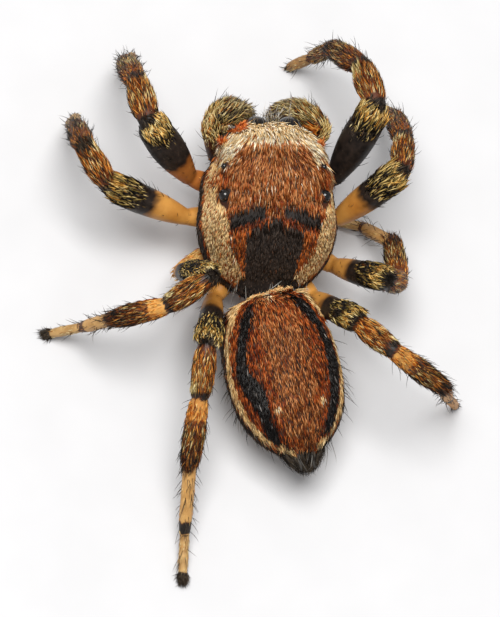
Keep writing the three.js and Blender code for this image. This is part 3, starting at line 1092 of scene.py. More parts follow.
    def tarsus(self) -> None:
        """Marks a pale shaft, ending in a black pad on the hind legs of the left side."""
        limb, look, t = self.limb, self.look, self.t
        pad = rise(0.86, 0.93, t) * (1.0 if limb.pair > 2 and limb.sign > 0 else 0.25)
        rusty = limb.pair == 4 and limb.sign < 0
        look.pale = (0.2 if rusty else 0.75) * (1 - pad)
        look.warm[:] = 0.9 if rusty else (0.1 if limb.pair > 2 else 0.5)
        cuff = (0.9 if limb.pair == 4 else 0.4) * (1 - rise(0.0, 0.08, t))
        look.dark = most(pad, cuff, 0.04)
        look.length[:] = 0.09
        look.tone[:] = 0.3
        look.width[:] = 0.01
        look.amount[:] = 0.36


@dataclass
class PalpJoint(LimbJoint):
    """One joint of a palp, with an orange spot on the right one."""

    step: int = 0
    ember: tuple[float, float, float] = (-0.68, -1.04, 1.64)

    def look(self, points: Array, normals: Array) -> Look:
        """Returns the markings and the coat of this joint of the palp.

        Args:
            points: Places on the skin.
            normals: Directions out of the skin there.

        Returns:
            The look at those places.
        """
        t, top, front = self.place(points)
        lie = flatten_on(np.broadcast_to(self.frame()[0], points.shape), normals)
        look = Look.plain(unrolled((t + 0.3) / 1.6, front, top), lie)
        patches = rise(-0.1, 0.5, ripple(points, 0.3, 41 + self.step))
        look.dark[:] = 0.35
        look.lift[:] = 18.0
        look.length[:] = 0.19
        look.width[:] = 0.014
        if self.step == 0:
            look.dark = 0.3 + 0.3 * (1 - rise(0.3, 0.5, t))
            look.pale = 0.7 * rise(0.3, 0.5, t)
            look.length = 0.06 + 0.09 * rise(0.25, 0.8, t)
            look.lift = 10.0 + 6.0 * rise(0.5, 0.9, t)
        elif self.step == 1:
            look.dark = 0.45 + 0.45 * patches
            look.pale = 0.62 - 0.35 * patches
        else:
            look.pale = 0.86 - 0.32 * patches
            look.dark = 0.36 + 0.3 * patches
            look.tone[:] = 0.08
            look.lift[:] = 21.0
        look.warm[:] = 0.08
        inner = rise(0.3, 0.8, normals @ unit(np.array([-self.sign, 0.7, 0.0])))
        look.dark = np.maximum(look.dark, 0.75 * inner)
        look.lift += 26.0 * inner
        look.length += 0.16 * inner * (self.sign > 0)
        glow = 1 - rise(0.08, 0.13, np.linalg.norm(points - np.array(self.ember), axis=1))
        look.warm = np.maximum(look.warm, glow)
        look.pale *= 1 - glow
        look.dark *= 1 - 0.85 * glow
        look.tone -= 0.2 * glow
        return look


@dataclass
class Leg:
    """One leg: the chain of its joints, from the body to the claws."""

    name: str

    def points(self) -> list[Array]:
        """Finds the inner end of the coxa and the six joints after it.

        Returns:
            Seven points in working millimetres.
        """
        sizes = LEG_SIZES[self.pair]
        root = STRETCHED_LEG[1] if self.name == STRETCHED_LEG[0] else sizes.root
        mirror = np.array([1, self.sign, 1])
        chain = [AXES.raw(np.array(place) * mirror) for place in (sizes.inner, root)]
        headings, rises = LEG_POSES[self.name]
        for k, length in enumerate(sizes.lengths):
            turn = math.radians(headings[k])
            if k < len(rises):
                lift = math.radians(rises[k])
            else:
                lift = math.asin((FOOT_HEIGHT - chain[-1][2]) / length)
            way = np.array([math.sin(turn) * math.cos(lift), -math.cos(turn) * math.cos(lift),
                            math.sin(lift)])
            chain.append(chain[-1] + way * length)
        chain[-1] = chain[-1] - UP * FOOT_DROP
        return chain

    @property
    def pair(self) -> int:
        """Returns 1 for the front pair to 4 for the rear pair."""
        return int(self.name[-1])

    @property
    def sign(self) -> int:
        """Returns 1 on the left side and -1 on the right."""
        return 1 if "left" in self.name else -1

    def parts(self) -> list[LimbJoint]:
        """Returns the joints of the leg as parts of the skin.

        Returns:
            Six joints, from coxa to tarsus.
        """
        sizes = LEG_SIZES[self.pair]
        chain = self.points()

        def barrel(near: float, middle: float, far: float) -> Table:
            """Returns the outline of a joint that swells in the middle."""
            return ((0, near), (0.12, 0.5 * (near + middle)), (0.35, middle),
                    (0.7, middle * 0.98), (0.92, 0.55 * far + 0.45 * middle), (1, far))

        profiles: dict[Joint, Table] = {
            Joint.COXA: ((0, 0.12), (0.5, 0.155), (0.85, 0.14), (1, 0.115)),
            Joint.FEMUR: sizes.femur,
            Joint.PATELLA: barrel(0.13, sizes.patella, 0.12),
            Joint.TIBIA: barrel(0.115, sizes.tibia, 0.105),
            Joint.METATARSUS: barrel(0.098, sizes.metatarsus, 0.085),
            Joint.TARSUS: barrel(0.072, sizes.tarsus, 0.055),
        }
        return [
            LimbJoint(f"{self.name}_{kind.value}", kind, chain[k], chain[k + 1],
                      profiles[kind], self.pair, self.sign, sizes)
            for k, kind in enumerate(Joint)
        ]

    def nodes(self) -> list[str]:
        """Returns the solids that this leg's skin stands for."""
        return [f"{self.name}_{part}" for part in ("coxa", "femur", "patella", "tibia", "foot")]


@dataclass
class Palp:
    """One palp, folded down in front of the face."""

    side: str
    arm: Sequence[tuple[float, float, float]]
    tip: tuple[float, float, float]

    def parts(self) -> list[PalpJoint]:
        """Returns the joints of the palp as parts of the skin.

        Returns:
            Four joints, from the body outwards.
        """
        chain = [np.array(p) for p in (*self.arm, self.tip)]
        outlines: tuple[Table, ...] = (
            ((0, 0.1), (0.5, 0.14), (0.85, 0.145), (1, 0.125)),
            ((0, 0.12), (0.5, 0.155), (1, 0.135)),
            ((0, 0.13), (0.5, 0.15), (1, 0.13)),
            ((0, 0.13), (0.35, 0.155), (0.7, 0.15), (0.9, 0.11), (1, 0.07)),
        )
        sign = 1 if self.side == "left" else -1
        return [
            PalpJoint(f"palp_{self.side}_{k}", Joint.FEMUR, chain[k], chain[k + 1], outlines[k],
                      0, sign, step=k)
            for k in range(4)
        ]


PALPS = (
    Palp("left", ((0.66, -0.84, 0.92), (0.81, -1.12, 1.58), (0.62, -1.34, 1.54),
                  (0.41, -1.49, 1.24)), (0.24, -1.53, 0.72)),
    Palp("right", ((-0.66, -0.82, 0.92), (-0.82, -1.06, 1.58), (-0.61, -1.3, 1.55),
                   (-0.47, -1.48, 1.24)), (-0.32, -1.54, 0.72)),
)


# ------------------------------------------------------------------ meshes


def linked(name: str, data: Any) -> Object:
    """Puts a new object with this data into the scene.

    Args:
        name: Name of the object.
        data: Its mesh, light or camera.

    Returns:
        The object.
    """
    obj = bpy.data.objects.new(name, data)
    bpy.context.scene.collection.objects.link(obj)
    return obj


def new_object(name: str, points: Array, triangles: Array) -> Object:
    """Makes a smooth scene object from arrays.

    Args:
        name: Name of the piece.
        points: Corner points in working millimetres.
        triangles: Three corner numbers for each face.

    Returns:
        The object, in metres, linked to the scene.
    """
    mesh = bpy.data.meshes.new(name)
    placed = ((points + SHIFT) * MM).astype(np.float32)
    mesh.vertices.add(len(placed))
    mesh.vertices.foreach_set("co", placed.ravel())
    mesh.loops.add(triangles.size)
    mesh.loops.foreach_set("vertex_index", triangles.astype(np.int32).ravel())
    mesh.polygons.add(len(triangles))
    mesh.polygons.foreach_set("loop_start", np.arange(0, triangles.size, 3, dtype=np.int32))
    mesh.update(calc_edges=True)
    mesh.polygons.foreach_set("use_smooth", np.ones(len(triangles), dtype=bool))
    return linked(name, mesh)


def put_values(obj: Object, values: dict[str, Array]) -> None:
    """Stores numbers on a piece, one for each corner point.

    Args:
        obj: The piece.
        values: The numbers under each name.
    """
    for name, numbers in values.items():
        layer = obj.data.attributes.new(name, "FLOAT", "POINT")
        layer.data.foreach_set("value", np.asarray(numbers, dtype=np.float32))


def field_of(items: Any, name: str, kind: type = np.float64) -> Array:
    """Reads a field of three numbers from every item of a mesh.

    Args:
        items: The items, such as its corner points.
        name: Name of the field.
        kind: Type of the numbers.

    Returns:
        The numbers, one row for each item.
    """
    values = np.empty(len(items) * 3, dtype=kind)
    items.foreach_get(name, values)
    return values.reshape(-1, 3)


# ------------------------------------------------------------------ skin


@dataclass
class Skin:
    """The one skin over all the soft body, with no seam between its parts."""

    parts: list[Part]
    voxel: float = 0.026
    quick_scale: float = 1.5
    smoothing: float = 0.5
    rounds: int = 3
    points: Array = field(default_factory=lambda: np.zeros((0, 3)))
    normals: Array = field(default_factory=lambda: np.zeros((0, 3)))
    triangles: Array = field(default_factory=lambda: np.zeros((0, 3), dtype=int))
    owner: Array = field(default_factory=lambda: np.zeros(0, dtype=int))

    def wrap(self, points: Array, faces: list[list[int]]) -> None:
        """Draws one closed skin over all bodies and keeps its points and triangles.

        Args:
            points: Corner points of the bodies.
            faces: Faces of the bodies.
        """
        mesh = bpy.data.meshes.new("skin_form")
        mesh.from_pydata(points.tolist(), [], faces)
        form = linked("skin_form", mesh)
        remesh = form.modifiers.new("one_skin", "REMESH")
        remesh.mode = "VOXEL"
        remesh.voxel_size = self.voxel * 1.0
        remesh.adaptivity = 0.0
        relax = form.modifiers.new("relax", "SMOOTH")
        relax.factor = self.smoothing
        relax.iterations = self.rounds
        solid = form.evaluated_get(bpy.context.evaluated_depsgraph_get()).to_mesh()
        solid.calc_loop_triangles()
        self.points = field_of(solid.vertices, "co")
        self.normals = field_of(solid.vertices, "normal")
        self.triangles = field_of(solid.loop_triangles, "vertices", np.int32)
        form.to_mesh_clear()
        bpy.data.objects.remove(form)
        bpy.data.meshes.remove(mesh)

    def build(self) -> Object:
        """Makes the skin over the bodies of all parts.

        Returns:
            The skin as a scene object with its marks.
        """
        bodies = [(index, loft) for index, part in enumerate(self.parts) for loft in part.lofts()]
        points, faces = joined([loft for _, loft in bodies])
        self.wrap(points, faces)
        owner = np.concatenate([np.full(loft.size, index) for index, loft in bodies])
        self.owner = self.nearest_owner(points, owner, self.points)
        obj = new_object("skin", self.points, self.triangles)
        look = self.look_at(self.points, self.normals, self.owner)
        limb = self.is_limb(self.owner)
        # Under a full coat the skin drops its pale and warm marks and keeps its plain dark colour,
        # partly its own colour and partly painted shade for the gaps between hairs.
        bare = most(rise(0.56, 0.46, look.amount), rise(0.85, 0.95, look.warm) * (limb > 0))
        put_values(obj, {"pale": look.pale * bare, "dark": look.dark, "warm": look.warm * bare,
                         "limb": limb})
        return obj

    def named(self, words: tuple[str, ...]) -> list[int]:
        """Returns the numbers of the parts whose names start or end with a word."""
        return [k for k, part in enumerate(self.parts)
                if part.name.startswith(words) or part.name.endswith(words)]

    @staticmethod
    def nearest_owner(source: Array, owner: Array, points: Array) -> Array:
        """Returns for each point the part whose surface is nearest.

        Args:
            source: Places whose part is known.
            owner: Part of each of them.
            points: Places to look up.

        Returns:
            The part of each place.
        """
        tree = kdtree.KDTree(len(source))
        for index, point in enumerate(source):
            tree.insert(point, index)
        tree.balance()
        return np.array([owner[tree.find(point)[1]] for point in points])

    def is_limb(self, owner: Array) -> Array:
        """Returns 1 where the owner is a joint of a limb, half that on the first pair.

        Args:
            owner: Number of the part at each place.

        Returns:
            One value for each place.
        """
        limb = np.array([isinstance(part, LimbJoint) * (0.5 if "_1_" in part.name else 1.0)
                         for part in self.parts])
        return limb[owner]

    def look_at(self, points: Array, normals: Array, owner: Array) -> Look:
        """Asks each part for the look of the points that it owns.

        Args:
            points: Places on the skin.
            normals: Directions out of the skin there.
            owner: Number of the part at each place.

        Returns:
            The look at all places.
        """
        full = Look.plain(np.zeros((len(points), 2)), np.zeros((len(points), 3)))
        for index in np.unique(owner):
            mine = owner == index
            look = self.parts[index].look(points[mine], normals[mine])
            for key in vars(full):
                getattr(full, key)[mine] = getattr(look, key)
        return full

    def scatter(self, owners: Sequence[int], count: int,
                rng: np.random.Generator) -> tuple[Array, Array, Array]:
        """Picks places evenly over the skin of some parts.

        Args:
            owners: Numbers of the parts.
            count: How many places.
            rng: Source of chance.

        Returns:
            The places, the normals there, and the part of each.
        """
        first = self.owner[self.triangles[:, 0]]
        mine = self.triangles[np.isin(first, owners)]
        a, b, c = (self.points[mine[:, k]] for k in range(3))
        area = np.linalg.norm(np.cross(b - a, c - a), axis=1)
        pick = rng.choice(len(mine), size=count, p=area / area.sum())
        u, v = rng.random(count), rng.random(count)
        fold = u + v > 1.0
        u[fold], v[fold] = 1.0 - u[fold], 1.0 - v[fold]
        w = np.stack([1.0 - u - v, u, v], axis=-1)
        chosen = mine[pick]
        places = np.einsum("nk,nkd->nd", w, self.points[chosen])
        normals = unit(np.einsum("nk,nkd->nd", w, self.normals[chosen]))
        return places, normals, self.owner[chosen[:, 0]]

# ------------------------------------------------------------------ coat


@dataclass(frozen=True)
class Growth:
    """Shape of the hairs of one coat piece.

    Widths are shares of the full width at the steps, which are shares of the length.
    """

    steps: tuple[float, ...] = (0.0, 0.5)
    widths: tuple[float, ...] = (0.75, 1.0)
    bend: float = 0.55
    flatness: float = 0.55
    sink: float = 0.012
    heading_spread: float = 7.0
    lift_spread: float = 4.5
    length_spread: float = 0.22


@dataclass
class Strands:
    """Solid hairs as arrays, each a closed spike of three sides."""

    growth: Growth
    places: Array
    normals: Array
    look: Look
    rng: np.random.Generator
    sway_spread: float = 0.09
    patch_size: float = 0.0014

    def __post_init__(self) -> None:
        """Draws the heading, the lift, the length and the sway of every hair."""
        growth, look, rng, count = self.growth, self.look, self.rng, len(self.places)
        turn = np.radians(rng.normal(0.0, growth.heading_spread, count))
        side = np.cross(look.lie, self.normals)
        self.lie = look.lie * np.cos(turn)[:, None] + side * np.sin(turn)[:, None]
        self.side = np.cross(self.lie, self.normals)
        lift = look.lift + rng.normal(0.0, growth.lift_spread, count)
        self.lift = np.radians(np.clip(lift, 2.0, 80.0))
        spread = np.clip(rng.normal(1.0, growth.length_spread, count), 0.45, 1.7)
        self.length = look.length * spread
        self.sway = rng.normal(0.0, self.sway_spread, count)

    def grow(self) -> tuple[Array, Array, Array, Array]:
        """Makes the hairs.

        Returns:
            Corner points, triangles, the share of length at each corner, and the
            place of each corner on the small patch of its hair.
        """
        rings = [self.ring(t, wide) for t, wide in zip(self.growth.steps, self.growth.widths)]
        points = np.concatenate([*rings, self.spine(1.0)[:, None, :]], axis=1)
        count, per = points.shape[:2]
        along = np.tile(np.append(np.repeat(self.growth.steps, 3), 1.0), count)
        pattern, patch = self.pattern()
        triangles = (pattern[None] + (np.arange(count) * per)[:, None, None]).reshape(-1, 3)
        return points.reshape(-1, 3), triangles, along, patch

    def spine(self, t: float) -> Array:
        """Follows the middle line of each hair.

        Args:
            t: Share of the length.

        Returns:
            One point for each hair.
        """
        height = np.sin(self.lift) * t * (1.0 - self.growth.bend * t)
        out = np.cos(self.lift) * t
        return (self.places - self.normals * self.growth.sink
                + self.lie * (self.length * out)[:, None]
                + self.normals * (self.length * height)[:, None]
                + self.side * (self.length * self.sway * t * t)[:, None])

    def ring(self, t: float, wide: float) -> Array:
        """Makes the three corners around each hair.

        Args:
            t: Share of the length.
            wide: Share of the full width there.

        Returns:
            Three points for each hair.
        """
        middle = self.spine(t)
        slope = np.sin(self.lift) * (1.0 - 2.0 * self.growth.bend * t)
        up = unit(self.normals - self.lie * slope[:, None])
        flat = self.growth.flatness
        half = (self.look.width * wide)[:, None] * 0.5
        crest = middle + up * half * flat * 1.3
        left = middle + self.side * half - up * half * flat * 0.7
        right = middle - self.side * half - up * half * flat * 0.7
        return np.stack([crest, left, right], axis=1)

    def pattern(self) -> tuple[Array, Array]:
        """Lays out the triangles of one hair.

        Returns:
            The triangles, and their corners on the patch of the hair.
        """
        rings = len(self.growth.steps)
        tip = 3 * rings
        radii = [self.patch_size * (1.0 - 0.62 * k / rings) for k in range(rings)]
        turns = [2.0 * math.pi * k / 3.0 for k in range(3)]
        spots = [(radius * math.cos(a), radius * math.sin(a)) for radius in radii for a in turns]
        spots.append((0.0, 0.0))
        triangles = []
        for start in range(0, tip, 3):
            for k in range(3):
                a, b = start + k, start + (k + 1) % 3
                if start + 3 < tip:
                    triangles += [(a, b, b + 3), (a, b + 3, a + 3)]
                else:
                    triangles.append((a, b, tip))
        patch = [[spots[corner] for corner in face] for face in triangles]
        triangles.append((2, 1, 0))
        patch.append([(0.0019, 0.0), (0.0022, 0.0), (0.0019, 0.0003)])
        return np.array(triangles, dtype=np.int32), np.array(patch)


@dataclass
class CoatPiece:
    """One piece of the coat, grown from the skin of the parts that the words name.

    Spread is how many roots are tried for each hair wanted. Side 1 or -1 keeps to one side.
    """

    name: str
    coat: "Coat"
    words: tuple[str, ...]
    hairs: int
    seed: int
    spread: float = 2.4
    growth: Growth = Growth()
    change: Optional[Callable[[Look, Array, Array], None]] = None
    side: int = 0

    def build(self, skin: Skin) -> Object:
        """Grows the piece.

        Args:
            skin: The skin that it grows from.

        Returns:
            The coat piece as a scene object.
        """
        rng = np.random.default_rng(self.seed)
        wanted = self.hairs // 1
        tries = int(wanted * self.spread)
        places, normals, owner = skin.scatter(skin.named(self.words), tries, rng)
        look = skin.look_at(places, normals, owner)
        if self.change:
            self.change(look, places, normals)
        else:
            middle = places + look.lie * (look.length * 0.5)[:, None]
            seen = skin.look_at(middle, normals, owner)
            look.pale, look.dark, look.warm = seen.pale, seen.dark, seen.warm
        self.spare_eyes(places, look)
        if self.side:
            look.amount[AXES.local(places)[1] * self.side < 0.0] = 0.0
        keep = np.flatnonzero(rng.random(len(places)) < look.amount)
        keep = keep[places[keep, 2] > ROOT_CLEARANCE][:wanted]
        places, normals, owner = places[keep], normals[keep], owner[keep]
        for key, values in vars(look).items():
            setattr(look, key, values[keep])
        points, triangles, along, patch = Strands(self.growth, places, normals, look, rng).grow()
        points[:, 2] = np.maximum(points[:, 2], HAIR_CLEARANCE)
        obj = new_object(self.name, points, triangles)
        marks = {"tint": np.clip(rng.random(len(places)) + look.tone, 0.0, 1.0)}
        for key in ("pale", "dark", "warm"):
            marks[key] = self.chosen(getattr(look, key), rng)
        marks["dark"] *= 1.0 - marks["pale"]
        marks["limb"] = skin.is_limb(owner)
        per = len(points) // len(places)
        spread = {key: np.repeat(value, per) for key, value in marks.items()}
        put_values(obj, {**spread, "along": along})
        self.unwrap(obj, look.chart, owner, patch)
        LOG.info("%s: %d hairs, %d triangles", self.name, len(places), len(triangles))
        return obj

    @staticmethod
    def chosen(share: Array, rng: np.random.Generator) -> Array:
        """Gives each hair a mark or leaves it out, in line with the share marked."""
        chance = rng.random(len(share))
        return np.clip((share - 0.02 - 0.96 * chance) * 12.0 + 0.5, 0.0, 1.0)

    @staticmethod
    def spare_eyes(places: Array, look: Look) -> None:
        """Keeps hair off the eyes.

        Args:
            places: Roots on the skin.
            look: The coat at the roots, changed in place.
        """
        for kind, place in EYES.items():
            overhang = {"ale": 0.16, "ame": 0.05}.get(kind, 0.0)
            for sign in (1, -1):
                way = place.centre(sign) - places
                far = np.linalg.norm(way, axis=1)
                look.amount[(far < place.radius * 1.04) & (kind != "ale")] = 0.0
                ahead = dot(way, look.lie)
                off = np.sqrt(np.maximum(far ** 2 - ahead ** 2, 0.0))
                hits = (ahead > 0) & (off < place.radius) & (far < 0.4 + place.radius)
                room = ahead - np.sqrt(np.maximum(place.radius ** 2 - off ** 2, 0.0))
                look.length[hits] = np.minimum(look.length[hits],
                                               np.maximum(room[hits] + overhang, 0.03))

    @staticmethod
    def unwrap(obj: Object, chart: Array, owner: Array, patch: Array) -> None:
        """Lays out each hair as a small patch on the unrolled skin.

        Args:
            obj: The coat piece.
            chart: Place of each root on its part, 0 to 1.
            owner: Part of each root.
            patch: Corners of one hair on its patch.
        """
        parts = np.unique(owner)
        columns = math.ceil(math.sqrt(len(parts)))
        rows = math.ceil(len(parts) / columns)
        slot = np.searchsorted(parts, owner)
        cell = np.stack([slot % columns, slot // columns], axis=-1)
        size = np.array([1.0 / columns, 1.0 / rows])
        inner = np.clip(chart, 0.0, 1.0) * (size - 0.008) + 0.004
        roots = cell * size + inner
        spots = roots[:, None, None, :] + patch[None]
        layer = obj.data.uv_layers.new(name="OFBake")
        layer.data.foreach_set("uv", spots.astype(np.float32).ravel())


# ------------------------------------------------------------------ shader maths

Number = Union[float, "Value"]


class Value:
    """Wraps a socket, so that shader maths reads as an expression."""

    def __init__(self, graph: "Graph", socket: NodeSocket) -> None:
        """Keeps the socket and the graph that it belongs to."""
        self.graph = graph
        self.socket = socket

    def math(self, operation: str, first: Number, second: Number = 0.0,
             clamp: bool = False) -> "Value":
        """Returns the outcome of a Math node."""
        return self.graph.add("ShaderNodeMath", {"operation": operation, "use_clamp": clamp},
                              {0: first, 1: second})

    def __add__(self, other: Number) -> "Value":
        """Returns the sum."""
        return self.math("ADD", self, other)

    __radd__ = __add__

    def __sub__(self, other: Number) -> "Value":
        """Returns the difference."""
        return self.math("SUBTRACT", self, other)

    def __rsub__(self, other: Number) -> "Value":
        """Returns the difference, the other way round."""
        return self.math("SUBTRACT", other, self)

    def __mul__(self, other: Number) -> "Value":
        """Returns the product."""
        return self.math("MULTIPLY", self, other)

    def clamped(self) -> "Value":
        """Returns the value held between 0 and 1."""
        return self.math("ADD", self, 0.0, clamp=True)


class Graph:
    """Node tree of one material."""

    def __init__(self, name: str) -> None:
        """Starts an empty material.

        Args:
            name: Name of the material.
        """
        self.material = bpy.data.materials.new(name)
        self.material.use_nodes = True
        self.tree = self.material.node_tree
        self.tree.nodes.clear()

    def add(self, kind: str, settings: Optional[dict[str, Any]] = None,
            inputs: Optional[dict[Union[int, str], Any]] = None,
            output: Union[int, str] = 0) -> Value:
        """Adds one node.

        Args:
            kind: Type of the node.
            settings: Properties, set first; "stops" fills a colour ramp.
            inputs: Values or links of its sockets.
            output: Which output is returned.

        Returns:
            The output, wrapped.
        """
        node = self.tree.nodes.new(kind)
        for key, value in (settings or {}).items():
            if key == "stops":
                self.fill_ramp(node.color_ramp, value)
            else:
                setattr(node, key, value)
        for key, value in (inputs or {}).items():
            if isinstance(value, Value):
                self.tree.links.new(value.socket, node.inputs[key])
            else:
                node.inputs[key].default_value = value
        return Value(self, node.outputs[output]) if len(node.outputs) else None

    @staticmethod
    def fill_ramp(ramp: ColorRamp, stops: Sequence[tuple[float, Colour]]) -> None:
        """Sets the stops of a colour ramp.

        Args:
            ramp: The ramp.
            stops: Position and colour of each stop.
        """
        while len(ramp.elements) < len(stops):
            ramp.elements.new(1.0)
        for element, (position, colour) in zip(ramp.elements, stops):
            element.position = position
            element.color = colour

    def mark(self, name: str) -> Value:
        """Returns a number stored on the mesh."""
        return self.add("ShaderNodeAttribute", {"attribute_name": name}, output="Fac")

    def mix(self, factor: Number, first: Any, second: Any, blend: str = "MIX") -> Value:
        """Returns a mix of two colours."""
        return self.add("ShaderNodeMix", {"data_type": "RGBA", "blend_type": blend},
                        {0: factor, 6: first, 7: second}, output=2)

    def ramp(self, value: Value, stops: Sequence[tuple[float, Colour]]) -> Value:
        """Returns a colour ramp read at the value."""
        return self.add("ShaderNodeValToRGB", {"stops": stops}, {0: value}, output=0)

    def fade(self, value: Value, ends: Ends, low: float = 0.3, high: float = 0.7) -> Value:
        """Returns a colour that fades between two as the value goes from low to high."""
        return self.ramp(value, ((low, ends[0]), (high, ends[1])))

    def place(self) -> Value:
        """Returns the place on the object."""
        return self.add("ShaderNodeTexCoord", output="Object")

    def noise(self, scale: float, detail: float) -> Value:
        """Returns soft noise with a number of waves for each metre."""
        return self.add("ShaderNodeTexNoise", None,
                        {"Vector": self.place(), "Scale": scale, "Detail": detail}, output=0)

    def finish(self, shader: dict[str, Any], bump: Optional[Value] = None,
               depth: float = 0.0, strength: float = 1.0) -> Material:
        """Closes the graph with its shader.

        Args:
            shader: Values or links of the shader's sockets.
            bump: Height of the fine relief.
            depth: Full depth of the relief in metres.
            strength: Share of the relief that shows.

        Returns:
            The finished material.
        """
        inputs = dict(shader)
        if bump is not None:
            inputs["Normal"] = self.add("ShaderNodeBump", None,
                                        {"Strength": strength, "Distance": depth,
                                         "Height": bump})
        surface = self.add("ShaderNodeBsdfPrincipled", None, inputs)
        self.add("ShaderNodeOutputMaterial", None, {"Surface": surface})
        return self.material


# ------------------------------------------------------------------ finishes


@dataclass(frozen=True)
class CoatColours:
    """Colours of one coat, each from its darkest hairs to its lightest."""

    base: tuple[Colour, Colour, Colour]
    pale: tuple[Colour, Colour, Colour]
    straw: tuple[Colour, Colour, Colour]
    dark: tuple[Colour, Colour, Colour]
    warm: tuple[Colour, Colour, Colour]


BODY_COLOURS = CoatColours(
    base=(srgb(86, 36, 6), srgb(158, 88, 36), srgb(212, 146, 90)),
    pale=(srgb(166, 134, 86), srgb(232, 210, 168), srgb(255, 248, 226)),
    straw=(srgb(160, 116, 62), srgb(222, 180, 118), srgb(246, 216, 162)),
    dark=(srgb(12, 8, 5), srgb(38, 29, 23), srgb(80, 68, 60)),
    warm=(srgb(84, 26, 4), srgb(152, 62, 18), srgb(202, 108, 46)),
)
LEG_COLOURS = CoatColours(
    base=(srgb(62, 26, 5), srgb(134, 66, 18), srgb(202, 130, 52)),
    pale=(srgb(112, 92, 42), srgb(190, 162, 98), srgb(238, 220, 166)),
    straw=(srgb(146, 96, 30), srgb(214, 164, 82), srgb(250, 218, 146)),
    dark=(srgb(10, 7, 4), srgb(30, 22, 16), srgb(80, 68, 54)),
    warm=(srgb(126, 52, 8), srgb(202, 108, 28), srgb(242, 174, 82)),
)
GREYS = (srgb(104, 98, 92), srgb(160, 154, 146), srgb(226, 222, 214))
SILVER_COLOURS = CoatColours(GREYS, GREYS, GREYS, LEG_COLOURS.dark, GREYS)
EMBERS = (srgb(112, 34, 8), srgb(184, 76, 24), srgb(232, 142, 70))
EMBER_COLOURS = CoatColours(EMBERS, EMBERS, EMBERS, EMBERS, EMBERS)
JETS = (srgb(5, 2, 1), srgb(15, 8, 4), srgb(40, 28, 20))
# Painted highlights: pale grey hairs among the black stripe hairs stand in for glints of light on
# them.
PAINTED_GLINTS = (srgb(60, 54, 50), srgb(128, 120, 114), srgb(214, 210, 204))
JET_COLOURS = CoatColours(JETS, PAINTED_GLINTS, PAINTED_GLINTS, JETS, JETS)


@dataclass(frozen=True)
class CoatFinish:
    """Satin hair in the colours of its markings, with painted shade that darkens each hair towards
    its root.
    """

    name: str
    colours: CoatColours
    roughness: float = 0.42
    gloss: float = 0.16
    clouds: float = 2600.0
    stops: tuple[float, float, float] = (0.04, 0.5, 0.96)
    # Brightness of each hair at its root, where painted shade darkens it.
    root_light: float = 0.3

    def material(self) -> Material:
        """Returns the material of the coat.

        Returns:
            The material.
        """
        graph = Graph(self.name)
        tint = graph.mark("tint")
        patchy = graph.noise(self.clouds, 2.0)
        shade = (tint + (patchy - 0.5) * 0.4).clamped()
        ramps = {key: graph.ramp(shade, tuple(zip(self.stops, hairs)))
                 for key, hairs in vars(self.colours).items()}
        colour = graph.mix(graph.mark("warm"), ramps["base"], ramps["warm"])
        light = graph.mix(graph.mark("warm"), ramps["pale"], ramps["straw"])
        colour = graph.mix(graph.mark("pale"), colour, light)
        colour = graph.mix(graph.mark("dark"), colour, ramps["dark"])
        # Painted shade: each hair is darkened towards its root, where the hairs shade one another.
        root = (graph.mark("along") + self.root_light).clamped()
        root_shade = graph.fade(root, ((0, 0, 0, 1), (1, 1, 1, 1)), 0.0, 1.0)
        colour = graph.mix(1.0, colour, root_shade, "MULTIPLY")
        rough = self.roughness + (patchy - 0.5) * 0.2
        return graph.finish({"Base Color": colour, "Roughness": rough,
                             "Specular IOR Level": self.gloss})


class Coat(Enum):
    """Kinds of coat, each with its finish and a slot name."""

    BODY = (CoatFinish("coat_body", BODY_COLOURS), "body_coat")
    LEG = (CoatFinish("coat_leg", LEG_COLOURS), "leg_coat")
    BRISTLE = (CoatFinish("coat_bristle", LEG_COLOURS, 0.35), "dark_bristle")
    SILVER = (CoatFinish("coat_silver", SILVER_COLOURS, 0.35), "dark_bristle")
    EMBER = (CoatFinish("coat_ember", EMBER_COLOURS), "body_coat")
    JET = (CoatFinish("coat_jet", JET_COLOURS, 0.3, 0.3), "dark_bristle")

    def __init__(self, finish: CoatFinish, slot: str) -> None:
        """Keeps the finish and the slot."""
        self.finish = finish
        self.slot = slot


@dataclass(frozen=True)
class SkinFinish:
    """Cuticle under the coat, darker than the hairs, with fine relief. Its darkness is partly the
    cuticle's own colour and partly painted shade for the gaps between the hairs.

    Each shade has its darkest and lightest colour on the body, then on the limbs.
    """

    name: str = "skin_cuticle"
    plain: tuple[Ends, Ends] = (
        (srgb(40, 16, 4), srgb(72, 32, 10)), (srgb(58, 25, 8), srgb(100, 49, 17)))
    warm: tuple[Ends, Ends] = (
        (srgb(118, 38, 4), srgb(166, 66, 14)), (srgb(164, 106, 42), srgb(204, 150, 76)))
    pale: tuple[Ends, Ends] = (
        (srgb(52, 34, 18), srgb(98, 70, 42)), (srgb(148, 114, 68), srgb(206, 168, 110)))
    black: Ends = (srgb(14, 11, 10), srgb(44, 35, 30))
    relief: float = 0.000012
    grains: float = 9000.0
    clouds: float = 1800.0

    def material(self) -> Material:
        """Makes the material of the skin.

        Returns:
            The material.
        """
        graph = Graph(self.name)
        limb = graph.mark("limb")
        grain, patchy = graph.noise(self.grains, 3.0), graph.noise(self.clouds, 3.0)

        def shade(ends: tuple[Ends, Ends], cloud: Value) -> Value:
            """Returns a shade of body and limbs with its light and dark clouds."""
            return graph.mix(limb, *(graph.fade(cloud, pair) for pair in ends))

        colour = shade(self.plain, patchy)
        colour = graph.mix(graph.mark("warm"), colour, shade(self.warm, patchy))
        colour = graph.mix(graph.mark("pale"), colour, shade(self.pale, grain))
        pick = (graph.mark("dark") - 0.5 + (patchy - 0.5) * 0.3) * (4.0 - limb * 2.4) + 0.5
        colour = graph.mix(pick.clamped(), colour, graph.fade(grain, self.black))
        rough = 0.66 - limb * 0.24 + (grain - 0.5) * 0.2
        return graph.finish({"Base Color": colour, "Roughness": rough,
                             "Specular IOR Level": 0.25}, grain, self.relief, 0.7)


